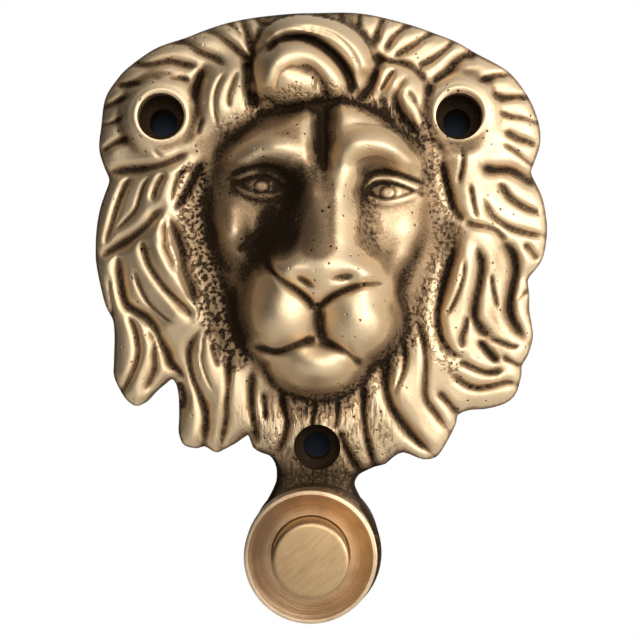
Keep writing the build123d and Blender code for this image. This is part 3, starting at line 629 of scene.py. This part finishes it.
DRAWN_HEIGHT = 10.0  # what stands this far off the wall is drawn at its own size
DRAWN_WIDTH = 125.737  # what the camera takes in at that height, in mm


def placed(x, z, h):
    """Drawn places and heights to true places, in metres: what stands nearer is drawn larger."""
    k = (VIEW_DISTANCE - h) / (VIEW_DISTANCE - DRAWN_HEIGHT)
    return np.stack([(VIEW_X + (x - VIEW_X) * k) * MM, -h * MM, z * k * MM], -1)


def drawn(points):
    """True places in metres back to drawn places."""
    h = -points[:, 1] / MM
    k = (VIEW_DISTANCE - h) / (VIEW_DISTANCE - DRAWN_HEIGHT)
    return VIEW_X + (points[:, 0] / MM - VIEW_X) / k, points[:, 2] / MM / k


# ---------------------------------------------------------------- small helpers
def only(obj):
    """Selects one object and nothing else."""
    bpy.ops.object.select_all(action="DESELECT")
    obj.select_set(True)
    bpy.context.view_layer.objects.active = obj


def points_of(mesh):
    out = np.empty(len(mesh.vertices) * 3)
    mesh.vertices.foreach_get("co", out)
    return out.reshape(-1, 3)


def pick_points(mesh, chosen):
    """Selects these points of a mesh, in object mode."""
    mesh.polygons.foreach_set("select", np.zeros(len(mesh.polygons), bool))
    mesh.edges.foreach_set("select", np.zeros(len(mesh.edges), bool))
    mesh.vertices.foreach_set("select", chosen)


def new_circle(name, radius, at, steps, fill="NGON", turn=(0, 0, 0)):
    """A circle to start a piece from, in metres, selected all over."""
    bpy.ops.object.select_all(action="DESELECT")
    bpy.ops.mesh.primitive_circle_add(vertices=steps, radius=radius, fill_type=fill, location=at, rotation=turn)
    bpy.context.object.name = name
    return bpy.context.object


def smooth(obj, degrees):
    only(obj)
    bpy.ops.object.shade_smooth_by_angle(angle=radians(degrees))
    return obj


def turned(name, profile, x, z, steps=96):
    """A piece turned about an axis that stands off the wall. The profile is radius and height in mm, and starts
    and ends on the axis, or is a closed line round a ring."""
    solid = profile[0][0] == 0
    line = profile[1:-1] if solid else profile[1:] + profile[:1]
    (r, h), rest = (line[0], line[1:]) if solid else (profile[0], line)
    at = (x * MM, -h * MM, z * MM)
    obj = new_circle(name, r * MM, at, steps, "NGON" if solid else "NOTHING", (pi / 2, 0, 0))
    bpy.ops.object.transform_apply(location=True, rotation=True, scale=True)
    bpy.ops.object.mode_set(mode="EDIT")
    bpy.ops.mesh.select_all(action="SELECT")
    extrude = bpy.ops.mesh.extrude_region_move if solid else bpy.ops.mesh.extrude_edges_move
    for r2, h2 in rest:
        extrude(TRANSFORM_OT_translate={"value": (0, -(h2 - h) * MM, 0)})
        bpy.ops.transform.resize(value=(r2 / r, 1, r2 / r), center_override=(x * MM, -h2 * MM, z * MM))
        r, h = r2, h2
    bpy.ops.mesh.select_all(action="SELECT")
    bpy.ops.mesh.remove_doubles(threshold=1e-7)
    bpy.ops.mesh.normals_make_consistent(inside=False)
    bpy.ops.object.mode_set(mode="OBJECT")
    return obj


def arc(start, end, sag, steps=8):
    """Points on a shallow curve from one profile point to another, sinking by the sag between them."""
    return [
        (
            start[0] + (end[0] - start[0]) * t - sag * 0.4 * sin(pi * t),
            start[1] + (end[1] - start[1]) * t - sag * sin(pi * t),
        )
        for t in np.linspace(0, 1, steps + 1)
    ]


def combine(obj, other, how):
    """Joins another closed piece to this one, or cuts it away, and removes the other."""
    only(obj)
    mod = obj.modifiers.new(how.lower(), "BOOLEAN")
    mod.operation = how
    mod.solver = "EXACT"
    mod.object = other
    bpy.ops.object.modifier_apply(modifier=mod.name)
    bpy.data.objects.remove(other)


# ---------------------------------------------------------------- the mask
def mask_blank(clay):
    """The carved sheet, trimmed to the outline, with a wall down to the door's face and a flat back."""
    bpy.ops.object.select_all(action="DESELECT")
    bpy.ops.mesh.primitive_grid_add(x_subdivisions=len(clay.xs) - 1, y_subdivisions=len(clay.zs) - 1, size=1)
    obj = bpy.context.object
    obj.name = "lion_mask"
    mesh = obj.data
    gz, gx = np.gradient(clay.edge, clay.step)
    kept = clay.edge >= -0.6 * clay.step
    inner = kept & np.roll(kept, 1, 0) & np.roll(kept, -1, 0)
    rim = kept & ~(inner & np.roll(inner, 1, 1) & np.roll(inner, -1, 1))
    snap = np.where(rim, clay.edge, 0)  # the rim's points move onto the outline
    mesh.vertices.foreach_set("co", placed(clay.x - snap * gx, clay.z - snap * gz, clay.h).ravel())
    pick_points(mesh, ~kept.ravel())
    bpy.ops.object.mode_set(mode="EDIT")
    bpy.ops.mesh.delete(type="VERT")
    bpy.ops.mesh.select_all(action="DESELECT")
    bpy.ops.mesh.select_mode(type="EDGE")
    bpy.ops.mesh.select_non_manifold(extend=False, use_wire=False, use_multi_face=False, use_non_contiguous=False)
    bpy.ops.mesh.extrude_region_move()
    bpy.ops.object.mode_set(mode="OBJECT")
    co = points_of(mesh)
    rim = np.empty(len(mesh.vertices), bool)
    mesh.vertices.foreach_get("select", rim)
    co[rim, 1] = 0
    mesh.vertices.foreach_set("co", co.ravel())
    bpy.ops.object.mode_set(mode="EDIT")
    bpy.ops.mesh.edge_face_add()
    bpy.ops.mesh.select_all(action="DESELECT")
    bpy.ops.object.mode_set(mode="OBJECT")
    return obj


def screw_cutter(name):
    """The drilled hole and its counterbore."""
    mount = MOUNTS[name]
    x, z = mount["pos_m"][0] / MM, mount["pos_m"][2] / MM
    r = mount["dims"]["r_mm"]
    hole = turned("hole", [(0, -1), (r, -1), (r, THROUGH), (0, THROUGH)], x, z, 48)
    low, wide = COUNTERBORE_SEAT, COUNTERBORE_RADIUS
    lift = 0.6 if name in EARS else 0.0  # the ears' counterbores sit a little above their holes
    bore = turned("counterbore", [(0, low), (wide, low), (wide, THROUGH), (0, THROUGH)], x, z + lift, 64)
    combine(hole, bore, "UNION")
    return hole


def mask_back():
    """The hollow of the casting's back, round the ear screws' pillars."""
    hollow = turned("hollow", [(0, -1), (36.5, -1), (36.0, 3.8), (35.2, 4.5), (0, 4.5)], HOLLOW_X, HOLLOW_Z, 120)
    pocket = turned("pocket", [(0, 3), (14.5, 3), (14, 9.5), (13, 10.5), (0, 10.5)], HOLLOW_X, HOLLOW_Z, 96)
    combine(hollow, pocket, "UNION")
    for name in EARS:
        x, _, z = MOUNTS[name]["pos_m"]
        pillar = turned("pillar", [(0, -2), (7, -2), (7, 20), (0, 20)], x / MM, z / MM, 64)
        combine(hollow, pillar, "DIFFERENCE")
    return hollow


def boss_blank():
    r, h = BOSS_RADIUS, BOSS_HEIGHT
    profile = [(0, 0), (r, 0), (r, h - 0.5), (r - 0.15, h - 0.15), (r - 0.5, h), (0, h)]
    return turned("boss", profile, BOSS_X, PUSH_Z, 128)


def boss_bore():
    """Room for the lock nut from behind, then the barrel's own bore."""
    wide, deep, narrow = NUT_ROOM_RADIUS, NUT_ROOM_DEPTH, BARREL_BORE_RADIUS
    profile = [(0, -1), (wide, -1), (wide, deep), (narrow, deep), (narrow, 20), (0, 20)]
    return turned("boss_bore", profile, PUSH_X, PUSH_Z, 96)


def make_mask():
    step = CLAY_STEP
    clay = Clay(np.arange(-46.0, 48.0, step), np.arange(-44.0, 63.0, step))
    carve(clay)
    mask = mask_blank(clay)
    combine(mask, boss_blank(), "UNION")
    combine(mask, boss_bore(), "DIFFERENCE")
    combine(mask, mask_back(), "DIFFERENCE")
    for name in SCREWS:
        combine(mask, screw_cutter(name), "DIFFERENCE")
    shade_depth(mask, clay)
    return smooth(mask, 48)


def shade_depth(mask, clay):
    """Keeps five values at each point: how deep it lies in a furrow, with the washes of patina and painted
    shade added, how far it stands on a crest, where the casting is pitted, where it is darker and rougher, and
    where short fur is scratched in. Walls, back and holes, which lie off the carved face, get one value each,
    darker than the face, which in the holes is painted shade; the screws' seats get a darker one, painted shade."""
    fine, near, far = (blur(clay.h, radius, clay.step) for radius in (0.5, 1.0, 2.8))
    groove = np.minimum(1.9 * np.clip(fine - clay.h, 0, 1) + 0.45 * np.clip(near - clay.h, 0, 1), 0.52)
    # the furrows' patina, broad darkening in wide hollows that is patina with painted shade, the washes of patina and
    # painted shade, and a little everywhere
    deep = groove + np.minimum(0.12 * np.clip(far - clay.h, 0, 3), 0.18) + clay.darkening + 0.08
    crest = 0.6 * np.clip(clay.h - near, 0, 1) + 0.10 * np.clip(clay.h - far, 0, 3)
    co = points_of(mask.data)
    x, z = drawn(co)
    col = np.clip(np.round((x - clay.xs[0]) / clay.step).astype(int), 0, len(clay.xs) - 1)
    row = np.clip(np.round((z - clay.zs[0]) / clay.step).astype(int), 0, len(clay.zs) - 1)
    height = -co[:, 1] / MM
    off = height < clay.h[row, col] - 1.0
    seats = np.zeros(len(co), bool)
    for name in SCREWS:
        at = MOUNTS[name]["pos_m"]
        near_hole = np.hypot(co[:, 0] - at[0], co[:, 2] - at[2]) < (COUNTERBORE_RADIUS + 0.8) * MM
        seats |= near_hole & (height > COUNTERBORE_SEAT - 1.5)
    fields = (
        ("deep", deep, 0.30), ("crest", crest, 0.0), ("pitted", clay.pitted, 0.0), ("dull", clay.dull, 0.55),
        ("fur", clay.fur, 0.0),
    )
    for name, field, elsewhere in fields:
        attribute = mask.data.attributes.new(name, "FLOAT", "POINT")
        value = np.clip(field[row, col], 0, 1)
        value[off] = elsewhere
        # painted shade on the screws' seats at the bottom of their counterbores
        if name == "deep":
            value[off & seats] = 0.62
        attribute.data.foreach_set("value", value.astype(np.float32))


# ---------------------------------------------------------------- finishes
def node(tree, kind, at=(0, 0), **settings):
    n = tree.nodes.new(kind)
    n.location = at
    for key, value in settings.items():
        setattr(n, key, value)
    return n


def cleared(owner):
    """The node tree of a material or world, with nothing in it."""
    owner.use_nodes = True
    owner.node_tree.nodes.clear()
    return owner.node_tree


def new_material(name):
    m = bpy.data.materials.new(name)
    tree = cleared(m)
    out = node(tree, "ShaderNodeOutputMaterial", (600, 0))
    shader = node(tree, "ShaderNodeBsdfPrincipled", (300, 0))
    tree.links.new(shader.outputs[0], out.inputs[0])
    return m, tree, shader


def group(name, ins, outs):
    """A shared node group: its inputs are (name, kind, value), its outputs (name, kind)."""
    tree = bpy.data.node_groups.new(name, "ShaderNodeTree")
    for socket, kind, value in ins:
        added = tree.interface.new_socket(name=socket, in_out="INPUT", socket_type=kind)
        if value is not None:
            added.default_value = value
    for socket, kind in outs:
        tree.interface.new_socket(name=socket, in_out="OUTPUT", socket_type=kind)
    return tree, node(tree, "NodeGroupInput", (-900, 0)), node(tree, "NodeGroupOutput", (600, 0))


def feed(tree, value, socket):
    """Gives a socket its value: another socket's, or its own."""
    if isinstance(value, bpy.types.NodeSocket):
        tree.links.new(value, socket)
    else:
        socket.default_value = value


def chain(tree, first, *steps):
    """Feeds a value through a row of sums. Each step is (operation, other), the other a socket or a number."""
    for i, (operation, other) in enumerate(steps):
        m = node(tree, "ShaderNodeMath", (-400 + 160 * i, 0), operation=operation)
        tree.links.new(first, m.inputs[0])
        feed(tree, other, m.inputs[1])
        first = m.outputs[0]
    return first


LIMITS = (("MAXIMUM", 0.0), ("MINIMUM", 1.0))  # the steps that keep a chain's end from 0 to 1


def share(tree, value, amount):
    """The step of a chain that adds this much of a value."""
    return "ADD", chain(tree, value, ("MULTIPLY", amount))


def ramp(tree, value, low, high, at=(0, 0), kind="SMOOTHSTEP"):
    """A value brought to 0 at low and 1 at high."""
    n = node(tree, "ShaderNodeMapRange", at, interpolation_type=kind)
    n.inputs["From Min"].default_value = low
    n.inputs["From Max"].default_value = high
    tree.links.new(value, n.inputs["Value"])
    return n.outputs["Result"]


def scaled(tree, vector, factors, at):
    """A place with each of its axes drawn in or out."""
    n = node(tree, "ShaderNodeVectorMath", at, operation="MULTIPLY")
    n.inputs[1].default_value = factors
    tree.links.new(vector, n.inputs[0])
    return n.outputs[0]


def noise(tree, vector, scale, detail=4.0, rough=0.6, at=(-600, -200)):
    n = node(tree, "ShaderNodeTexNoise", at)
    n.inputs["Detail"].default_value = detail
    n.inputs["Roughness"].default_value = rough
    tree.links.new(vector, n.inputs["Vector"])
    feed(tree, scale, n.inputs["Scale"])
    return n.outputs["Fac"]


def make_mottle():
    """Uneven handling and polish: a soft cloud and a fine grain, both about zero."""
    tree, given, out = group(
        "mottle",
        [("Place", "NodeSocketVector", None), ("Cloud Size", "NodeSocketFloat", 150.0)],
        [("Cloud", "NodeSocketFloat"), ("Grain", "NodeSocketFloat")],
    )
    cloud = noise(tree, given.outputs["Place"], given.outputs["Cloud Size"], 6, 0.62)
    grain = noise(tree, given.outputs["Place"], 1900, 3, 0.75, (-600, -500))
    tree.links.new(chain(tree, cloud, ("SUBTRACT", 0.5), ("MULTIPLY", 2.4)), out.inputs["Cloud"])
    tree.links.new(chain(tree, grain, ("SUBTRACT", 0.5), ("MULTIPLY", 2.0)), out.inputs["Grain"])
    return tree


def make_lathe_lines():
    """Fine rings left by the lathe round the push's axis."""
    tree, given, out = group(
        "lathe lines",
        [("Place", "NodeSocketVector", None), ("Lines", "NodeSocketFloat", 5.0)],
        [("Line", "NodeSocketFloat")],
    )
    centre = node(tree, "ShaderNodeVectorMath", (-700, 0), operation="SUBTRACT")
    centre.inputs[1].default_value = (PUSH_X * MM, 0, PUSH_Z * MM)
    tree.links.new(given.outputs["Place"], centre.inputs[0])
    flat = scaled(tree, centre.outputs[0], (1000, 0, 1000), (-550, 0))
    radius = node(tree, "ShaderNodeVectorMath", (-400, 150), operation="LENGTH")
    tree.links.new(flat, radius.inputs[0])
    wander = share(tree, noise(tree, flat, 0.35, 2, 0.5, (-400, -250)), 2.0)
    along = chain(tree, radius.outputs["Value"], ("MULTIPLY", given.outputs["Lines"]), wander)
    fine = node(tree, "ShaderNodeTexNoise", (200, 0), noise_dimensions="1D")
    fine.inputs["Scale"].default_value = 1.0
    fine.inputs["Detail"].default_value = 3.0
    fine.inputs["Roughness"].default_value = 0.7
    tree.links.new(along, fine.inputs["W"])
    tree.links.new(chain(tree, fine.outputs["Fac"], ("SUBTRACT", 0.5), ("MULTIPLY", 2.0)), out.inputs["Line"])
    return tree


def make_tarnish():
    """Turns how tarnished a place is, 0 to 1, into a colour between three and a roughness; on the mask that value also
    carries painted shade and painted highlight.
    """
    tree, given, out = group(
        "tarnish",
        [
            ("Tarnish", "NodeSocketFloat", 0.0),
            ("Rubbed", "NodeSocketColor", (0.8, 0.6, 0.35, 1)),
            ("Worn", "NodeSocketColor", (0.4, 0.26, 0.13, 1)),
            ("Hollow", "NodeSocketColor", (0.02, 0.012, 0.006, 1)),
            ("Smooth", "NodeSocketFloat", 0.38),
            ("Dry", "NodeSocketFloat", 0.8),
        ],
        [("Colour", "NodeSocketColor"), ("Roughness", "NodeSocketFloat")],
    )
    link = tree.links.new
    colour = given.outputs["Rubbed"]
    for towards, low, high, at in (("Worn", 0.0, 0.34, -200), ("Hollow", 0.28, 0.92, 50)):
        mix = node(tree, "ShaderNodeMix", (at, 200), data_type="RGBA")
        link(ramp(tree, given.outputs["Tarnish"], low, high, (at - 300, 400)), mix.inputs[0])
        link(colour, mix.inputs[6])
        link(given.outputs[towards], mix.inputs[7])
        colour = mix.outputs[2]
    link(colour, out.inputs["Colour"])
    rough = node(tree, "ShaderNodeMapRange", (50, -300))
    link(given.outputs["Tarnish"], rough.inputs["Value"])
    link(given.outputs["Smooth"], rough.inputs["To Min"])
    link(given.outputs["Dry"], rough.inputs["To Max"])
    link(rough.outputs["Result"], out.inputs["Roughness"])
    return tree


def placed_group(tree, shared, at=(-300, 0), **values):
    n = node(tree, "ShaderNodeGroup", at, node_tree=shared)
    for name, value in values.items():
        feed(tree, value, n.inputs[name.replace("_", " ")])
    return n


def colour_by_tarnish(tree, shader, tarnish, rubbed, worn, hollow, smooth, dry):
    """Gives a surface its colour and roughness from how tarnished each place on it is, which on the mask includes
    painted shade and painted highlight.
    """
    colours = {"Rubbed": (*rubbed, 1), "Worn": (*worn, 1), "Hollow": (*hollow, 1)}
    finish = placed_group(tree, TARNISH, (0, 0), Tarnish=tarnish, Smooth=smooth, Dry=dry, **colours)
    tree.links.new(finish.outputs["Colour"], shader.inputs["Base Color"])
    tree.links.new(finish.outputs["Roughness"], shader.inputs["Roughness"])


def bump(tree, shader, height, strength, distance):
    """Raises the surface a little, up to a distance in metres where the height is 1, over any bump already there."""
    b = node(tree, "ShaderNodeBump", (100, -400))
    b.inputs["Strength"].default_value = strength
    b.inputs["Distance"].default_value = distance
    tree.links.new(height, b.inputs["Height"])
    for old in shader.inputs["Normal"].links:
        tree.links.new(old.from_socket, b.inputs["Normal"])
    tree.links.new(b.outputs["Normal"], shader.inputs["Normal"])


def aged_brass():
    """Cast brass: bright where it is rubbed and where a highlight is painted, dark and dry in the hollows with patina
    and painted shade, pitted round the face.
    """
    m, tree, shader = new_material("aged cast brass")
    value = {
        name: node(tree, "ShaderNodeAttribute", (-1200, 300 - 200 * i), attribute_name=name).outputs["Fac"]
        for i, name in enumerate(("deep", "crest", "pitted", "dull", "fur"))
    }
    place = node(tree, "ShaderNodeTexCoord", (-1200, -600)).outputs["Object"]
    uneven = placed_group(tree, MOTTLE, (-900, -500), Place=place, Cloud_Size=130.0)
    # pits, about a millimetre apart, that run together in places
    pit = ramp(tree, noise(tree, place, 1150, 1.0, 0.4, (-700, -900)), 0.54, 0.36, (-500, -900))
    pitted = chain(tree, pit, ("MULTIPLY", value["pitted"]))
    # short fur, drawn out up and down
    combed = scaled(tree, place, (1500, 1500, 330), (-900, -1050))
    hair = ramp(tree, noise(tree, combed, 1.0, 2.0, 0.5, (-700, -1050)), 0.54, 0.36, (-500, -1050))
    fur = chain(tree, hair, ("MULTIPLY", value["fur"]))
    # scattered pinholes everywhere
    pins = node(tree, "ShaderNodeTexVoronoi", (-700, -1200))
    pins.inputs["Scale"].default_value = 500
    tree.links.new(place, pins.inputs["Vector"])
    pin = ramp(tree, pins.outputs["Distance"], 0.16, 0.07, (-500, -1200), "LINEAR")
    some = ramp(tree, noise(tree, place, 90, 1, 0.5, (-700, -1500)), 0.42, 0.50, (-500, -1400), "LINEAR")
    pinhole = chain(tree, pin, ("MULTIPLY", some))

    # on the mask this carries painted shade and painted highlight as well as patina, pits, pinholes and fur
    tarnish = chain(
        tree, value["deep"], ("SUBTRACT", value["crest"]),
        share(tree, uneven.outputs["Cloud"], 0.16), share(tree, pitted, 0.46), share(tree, value["pitted"], 0.08),
        share(tree, value["dull"], 0.72), share(tree, pinhole, 0.70), share(tree, fur, 0.45), *LIMITS,
    )
    grain = chain(tree, tarnish, ("MULTIPLY", 0.5), ("ADD", 0.10), ("MULTIPLY", uneven.outputs["Grain"]))
    tarnish = chain(tree, tarnish, ("ADD", grain), *LIMITS)
    colour_by_tarnish(
        tree, shader, tarnish, (0.76, 0.585, 0.37), (0.36, 0.240, 0.135), (0.040, 0.025, 0.014), 0.54, 0.78
    )
    shader.inputs["Metallic"].default_value = 1.0
    bump(tree, shader, noise(tree, place, 1300, 4, 0.7, (-300, -700)), 0.45, 0.00016)
    for hollow, strength, depth in ((pitted, 0.9, 0.00035), (pinhole, 0.8, 0.0002), (fur, 0.9, 0.0003)):
        bump(tree, shader, chain(tree, hollow, ("MULTIPLY", -1.0)), strength, depth)
    return m


def turned_metal(name, rubbed, worn, roughness, lines=5.0, depth=0.00003, darkening=0.10, brushed=False):
    """Metal off the lathe, with a little tarnish in clouds: fine rings, or one way brushed after turning."""
    m, tree, shader = new_material(name)
    place = node(tree, "ShaderNodeTexCoord", (-1200, -300)).outputs["Object"]
    uneven = placed_group(tree, MOTTLE, (-900, -500), Place=place, Cloud_Size=110.0)
    if brushed:
        turn = node(tree, "ShaderNodeVectorRotate", (-1100, -200), rotation_type="Y_AXIS")
        turn.inputs["Angle"].default_value = radians(42)
        tree.links.new(place, turn.inputs["Vector"])
        drawn_out = scaled(tree, turn.outputs["Vector"], (260, 260, 2600), (-950, -200))
        line = noise(tree, drawn_out, 1.0, 3.0, 0.6, (-800, -200))
        line = chain(tree, line, ("SUBTRACT", 0.5), ("MULTIPLY", 1.3))
    else:
        line = placed_group(tree, LATHE_LINES, (-900, -200), Place=place, Lines=lines).outputs["Line"]
    tarnish = chain(
        tree, uneven.outputs["Cloud"], ("MULTIPLY", darkening), share(tree, line, 0.26),
        share(tree, uneven.outputs["Grain"], 0.03), ("ADD", darkening), *LIMITS,
    )
    hollow = tuple(c * 0.3 for c in worn)
    colour_by_tarnish(tree, shader, tarnish, rubbed, worn, hollow, roughness, roughness + 0.35)
    shader.inputs["Metallic"].default_value = 1.0
    bump(tree, shader, line, 0.6, depth)
    return m


def moulded(name, light, dark):
    """A pressed insulating board, faintly speckled."""
    m, tree, shader = new_material(name)
    place = node(tree, "ShaderNodeTexCoord", (-1200, -300)).outputs["Object"]
    uneven = placed_group(tree, MOTTLE, (-900, -500), Place=place, Cloud_Size=300.0)
    speckle = share(tree, uneven.outputs["Grain"], 0.4)
    tarnish = chain(tree, uneven.outputs["Cloud"], ("MULTIPLY", 0.3), speckle, ("MAXIMUM", 0.0))
    colour_by_tarnish(tree, shader, tarnish, light, dark, dark, 0.55, 0.8)
    bump(tree, shader, uneven.outputs["Grain"], 0.3, 0.00003)
    return m


# ---------------------------------------------------------------- studio
def area_light(name, at, towards, size, power):
    data = bpy.data.lights.new(name, "AREA")
    data.shape = "DISK"
    data.size = size
    data.energy = power
    obj = bpy.data.objects.new(name, data)
    bpy.context.collection.objects.link(obj)
    obj.location = at
    obj.rotation_euler = (Vector(towards) - Vector(at)).to_track_quat("-Z", "Y").to_euler()


def end_tree(tree, kind, mask, first, second):
    """Ends a tree in its first shader where the mask is 0 and its second where it is 1."""
    both = node(tree, "ShaderNodeMixShader", (200, 0))
    out = node(tree, kind, (400, 0))
    for value, socket in zip((mask, first.outputs[0], second.outputs[0]), both.inputs):
        tree.links.new(value, socket)
    tree.links.new(both.outputs[0], out.inputs[0])


def shade_cards():
    """A small dark card behind each screw hole, seen only from the front, as the wall's shade would be."""
    m = bpy.data.materials.new("shade behind the holes")
    tree = cleared(m)
    dark = node(tree, "ShaderNodeBsdfDiffuse")
    dark.inputs["Color"].default_value = (0.035, 0.042, 0.060, 1)
    clear = node(tree, "ShaderNodeBsdfTransparent", (0, -200))
    facing = node(tree, "ShaderNodeNewGeometry", (0, 200))
    end_tree(tree, "ShaderNodeOutputMaterial", facing.outputs["Backfacing"], dark, clear)
    for name in SCREWS:
        x, _, z = MOUNTS[name]["pos_m"]
        card = new_circle("shade_" + name, 4.2 * MM, (x, 0.6 * MM, z), 32, turn=(pi / 2, 0, 0))
        card.data.materials.append(m)


def studio():
    """Soft light from the right, a pale floor, and the camera straight in front."""
    scene = bpy.context.scene
    scene.view_settings.view_transform = "Standard"
    world = bpy.data.worlds.new("studio")
    scene.world = world
    tree = cleared(world)
    place = node(tree, "ShaderNodeTexCoord", (-900, 0))
    split = node(tree, "ShaderNodeSeparateXYZ", (-700, 0))
    tree.links.new(place.outputs["Generated"], split.inputs[0])
    side = ramp(tree, split.outputs["X"], -0.70, 0.40, (-500, 0))
    side.node.inputs["To Min"].default_value = 0.02
    soft = node(tree, "ShaderNodeBackground", (-200, 0))
    tree.links.new(side, soft.inputs["Color"])
    soft.inputs["Strength"].default_value = 0.72
    white = node(tree, "ShaderNodeBackground", (-200, -200))
    white.inputs["Color"].default_value = (1, 1, 1, 1)
    seen = node(tree, "ShaderNodeLightPath", (-200, 300))
    end_tree(tree, "ShaderNodeOutputWorld", seen.outputs["Is Camera Ray"], soft, white)
    area_light("key", (0.50, -0.40, 0.10), (0, 0, 0.01), 0.40, 2.9)
    area_light("fill", (0.05, -0.70, 0.30), (0, 0, 0), 0.50, 2.6)

    floor = new_circle("floor", 0.33, (0, -0.15, -0.11), 96)
    m, _, shader = new_material("pale floor")
    shader.inputs["Base Color"].default_value = (0.82, 0.82, 0.81, 1)
    shader.inputs["Roughness"].default_value = 0.8
    floor.data.materials.append(m)
    shade_cards()

    data = bpy.data.cameras.new("camera")
    data.sensor_width = 36
    data.lens = 36 * (VIEW_DISTANCE - DRAWN_HEIGHT) / DRAWN_WIDTH
    data.clip_start = 0.01
    camera = bpy.data.objects.new("camera", data)
    scene.collection.objects.link(camera)
    camera.location = (VIEW_X * MM, -VIEW_DISTANCE * MM, 0)
    camera.rotation_euler = (radians(90), 0, 0)
    scene.camera = camera


# ---------------------------------------------------------------- the turned push
def make_ring():
    """The dished bezel ring with its barrel, a closed line turned about the push's axis."""
    dish = arc((7.7, 17.2), (11.9, 20.5), 0.8, 14)
    profile = [(7.4, 13.5), (7.4, 16.9), *dish, (12.1, 20.5), (12.4, 20.45), (12.62, 20.3), (12.7, 20.05),
               (12.7, 15.0), (9.0, 15.0), (9.0, 5.3), (8.7, 5.0), (8.1, 5.0), (8.1, 5.3), (8.5, 5.3), (8.5, 6.0),
               (8.1, 6.0), (8.1, 13.5)]
    return smooth(turned("dished_ring", profile, PUSH_X, PUSH_Z, 160), 30)


def make_button():
    """The button: a nearly flat face with a rounded edge, its skirt and the collar that keeps it in."""
    face = [(6.2, 24.99), (6.6, 24.95), (6.85, 24.87), (7.06, 24.73), (7.2, 24.55), (7.28, 24.3)]
    profile = [(0, 23.0), (5.8, 23.0), (5.8, 12.5), (8.0, 12.5), (8.0, 13.5), (7.3, 13.5), *face[::-1], (0, 25.0)]
    return smooth(turned("brass_button", profile, PUSH_X, PUSH_Z, 128), 30)


def make_spring():
    """The coil under the button: a round wire section carried up round the push's axis."""
    coil = new_circle("coil_spring", WIRE_RADIUS * MM, (PUSH_X * MM, -COIL_START * MM, PUSH_Z * MM), 12, "NOTHING")
    bpy.ops.object.mode_set(mode="EDIT")
    bpy.ops.mesh.select_all(action="SELECT")
    for axis in "XYZ":
        bpy.ops.transform.rotate(value=pi / 2, orient_axis=axis, center_override=coil.location)
    bpy.ops.transform.translate(value=(COIL_RADIUS * MM, 0, 0))
    bpy.ops.object.mode_set(mode="OBJECT")
    screw = coil.modifiers.new("wind", "SCREW")
    screw.axis = "Y"
    screw.angle = 2 * pi * COIL_TURNS
    screw.screw_offset = -COIL_RISE * MM
    screw.steps = screw.render_steps = 216
    bpy.ops.object.modifier_apply(modifier=screw.name)
    bpy.ops.object.transform_apply(location=True, rotation=True, scale=True)
    bpy.ops.object.mode_set(mode="EDIT")
    bpy.ops.mesh.select_all(action="SELECT")
    bpy.ops.mesh.remove_doubles(threshold=1e-8)
    bpy.ops.mesh.select_all(action="DESELECT")
    bpy.ops.mesh.select_non_manifold()
    bpy.ops.mesh.edge_face_add()
    bpy.ops.mesh.select_all(action="SELECT")
    bpy.ops.mesh.normals_make_consistent(inside=False)
    bpy.ops.object.mode_set(mode="OBJECT")
    return smooth(coil, 60)


# ---------------------------------------------------------------- the object
MOTTLE, LATHE_LINES, TARNISH = make_mottle(), make_lathe_lines(), make_tarnish()
studio()
lion = make_mask()
lion.data.materials.append(aged_brass())
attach(lion, "mask")
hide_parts("lion_plate")

ring = make_ring()
turned_brass = turned_metal("turned brass", (0.94, 0.72, 0.48), (0.44, 0.29, 0.16), 0.36, 7.0, 0.00007, 0.17)
ring.data.materials.append(turned_brass)
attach(ring, "mask")
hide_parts("bezel_ring")

button = make_button()
button_brass = turned_metal(
    "button brass", (0.54, 0.365, 0.19), (0.36, 0.23, 0.115), 0.40, depth=0.00002, darkening=0.15, brushed=True
)
button.data.materials.append(button_brass)
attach(button, "button")
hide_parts("push_button")

coil = make_spring()
wire = turned_metal("spring wire", (0.52, 0.50, 0.47), (0.30, 0.29, 0.27), 0.30, 9.0)
coil.data.materials.append(wire)
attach(coil, "mask")
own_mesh(coil)
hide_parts("return_spring")

nut_brass = turned_metal("nut brass", (0.58, 0.42, 0.24), (0.32, 0.20, 0.10), 0.38, 6.0, darkening=0.16)
contact_brass = turned_metal("contact brass", (0.70, 0.52, 0.28), (0.42, 0.27, 0.13), 0.32, 8.0)
clip_steel = turned_metal("clip steel", (0.42, 0.42, 0.43), (0.20, 0.19, 0.18), 0.36, 6.0, darkening=0.14)
board = moulded("insulating board", (0.075, 0.040, 0.022), (0.030, 0.016, 0.010))
for node_names, material in (
    (("lock_nut",), nut_brass),
    (("bridge_contact", "contact_stud_left", "contact_stud_right", "fixing_nut_left", "fixing_nut_right",
      "wire_washer_left", "wire_washer_right", "terminal_nut_left", "terminal_nut_right"), contact_brass),
    (("lock_washer", "base_circlip", "bridge_clip"), clip_steel),
    (("contact_base", "plunger"), board),
):
    for node_name in node_names:
        slots = frame["nodes"][node_name].data.materials
        slots.clear()
        slots.append(material)
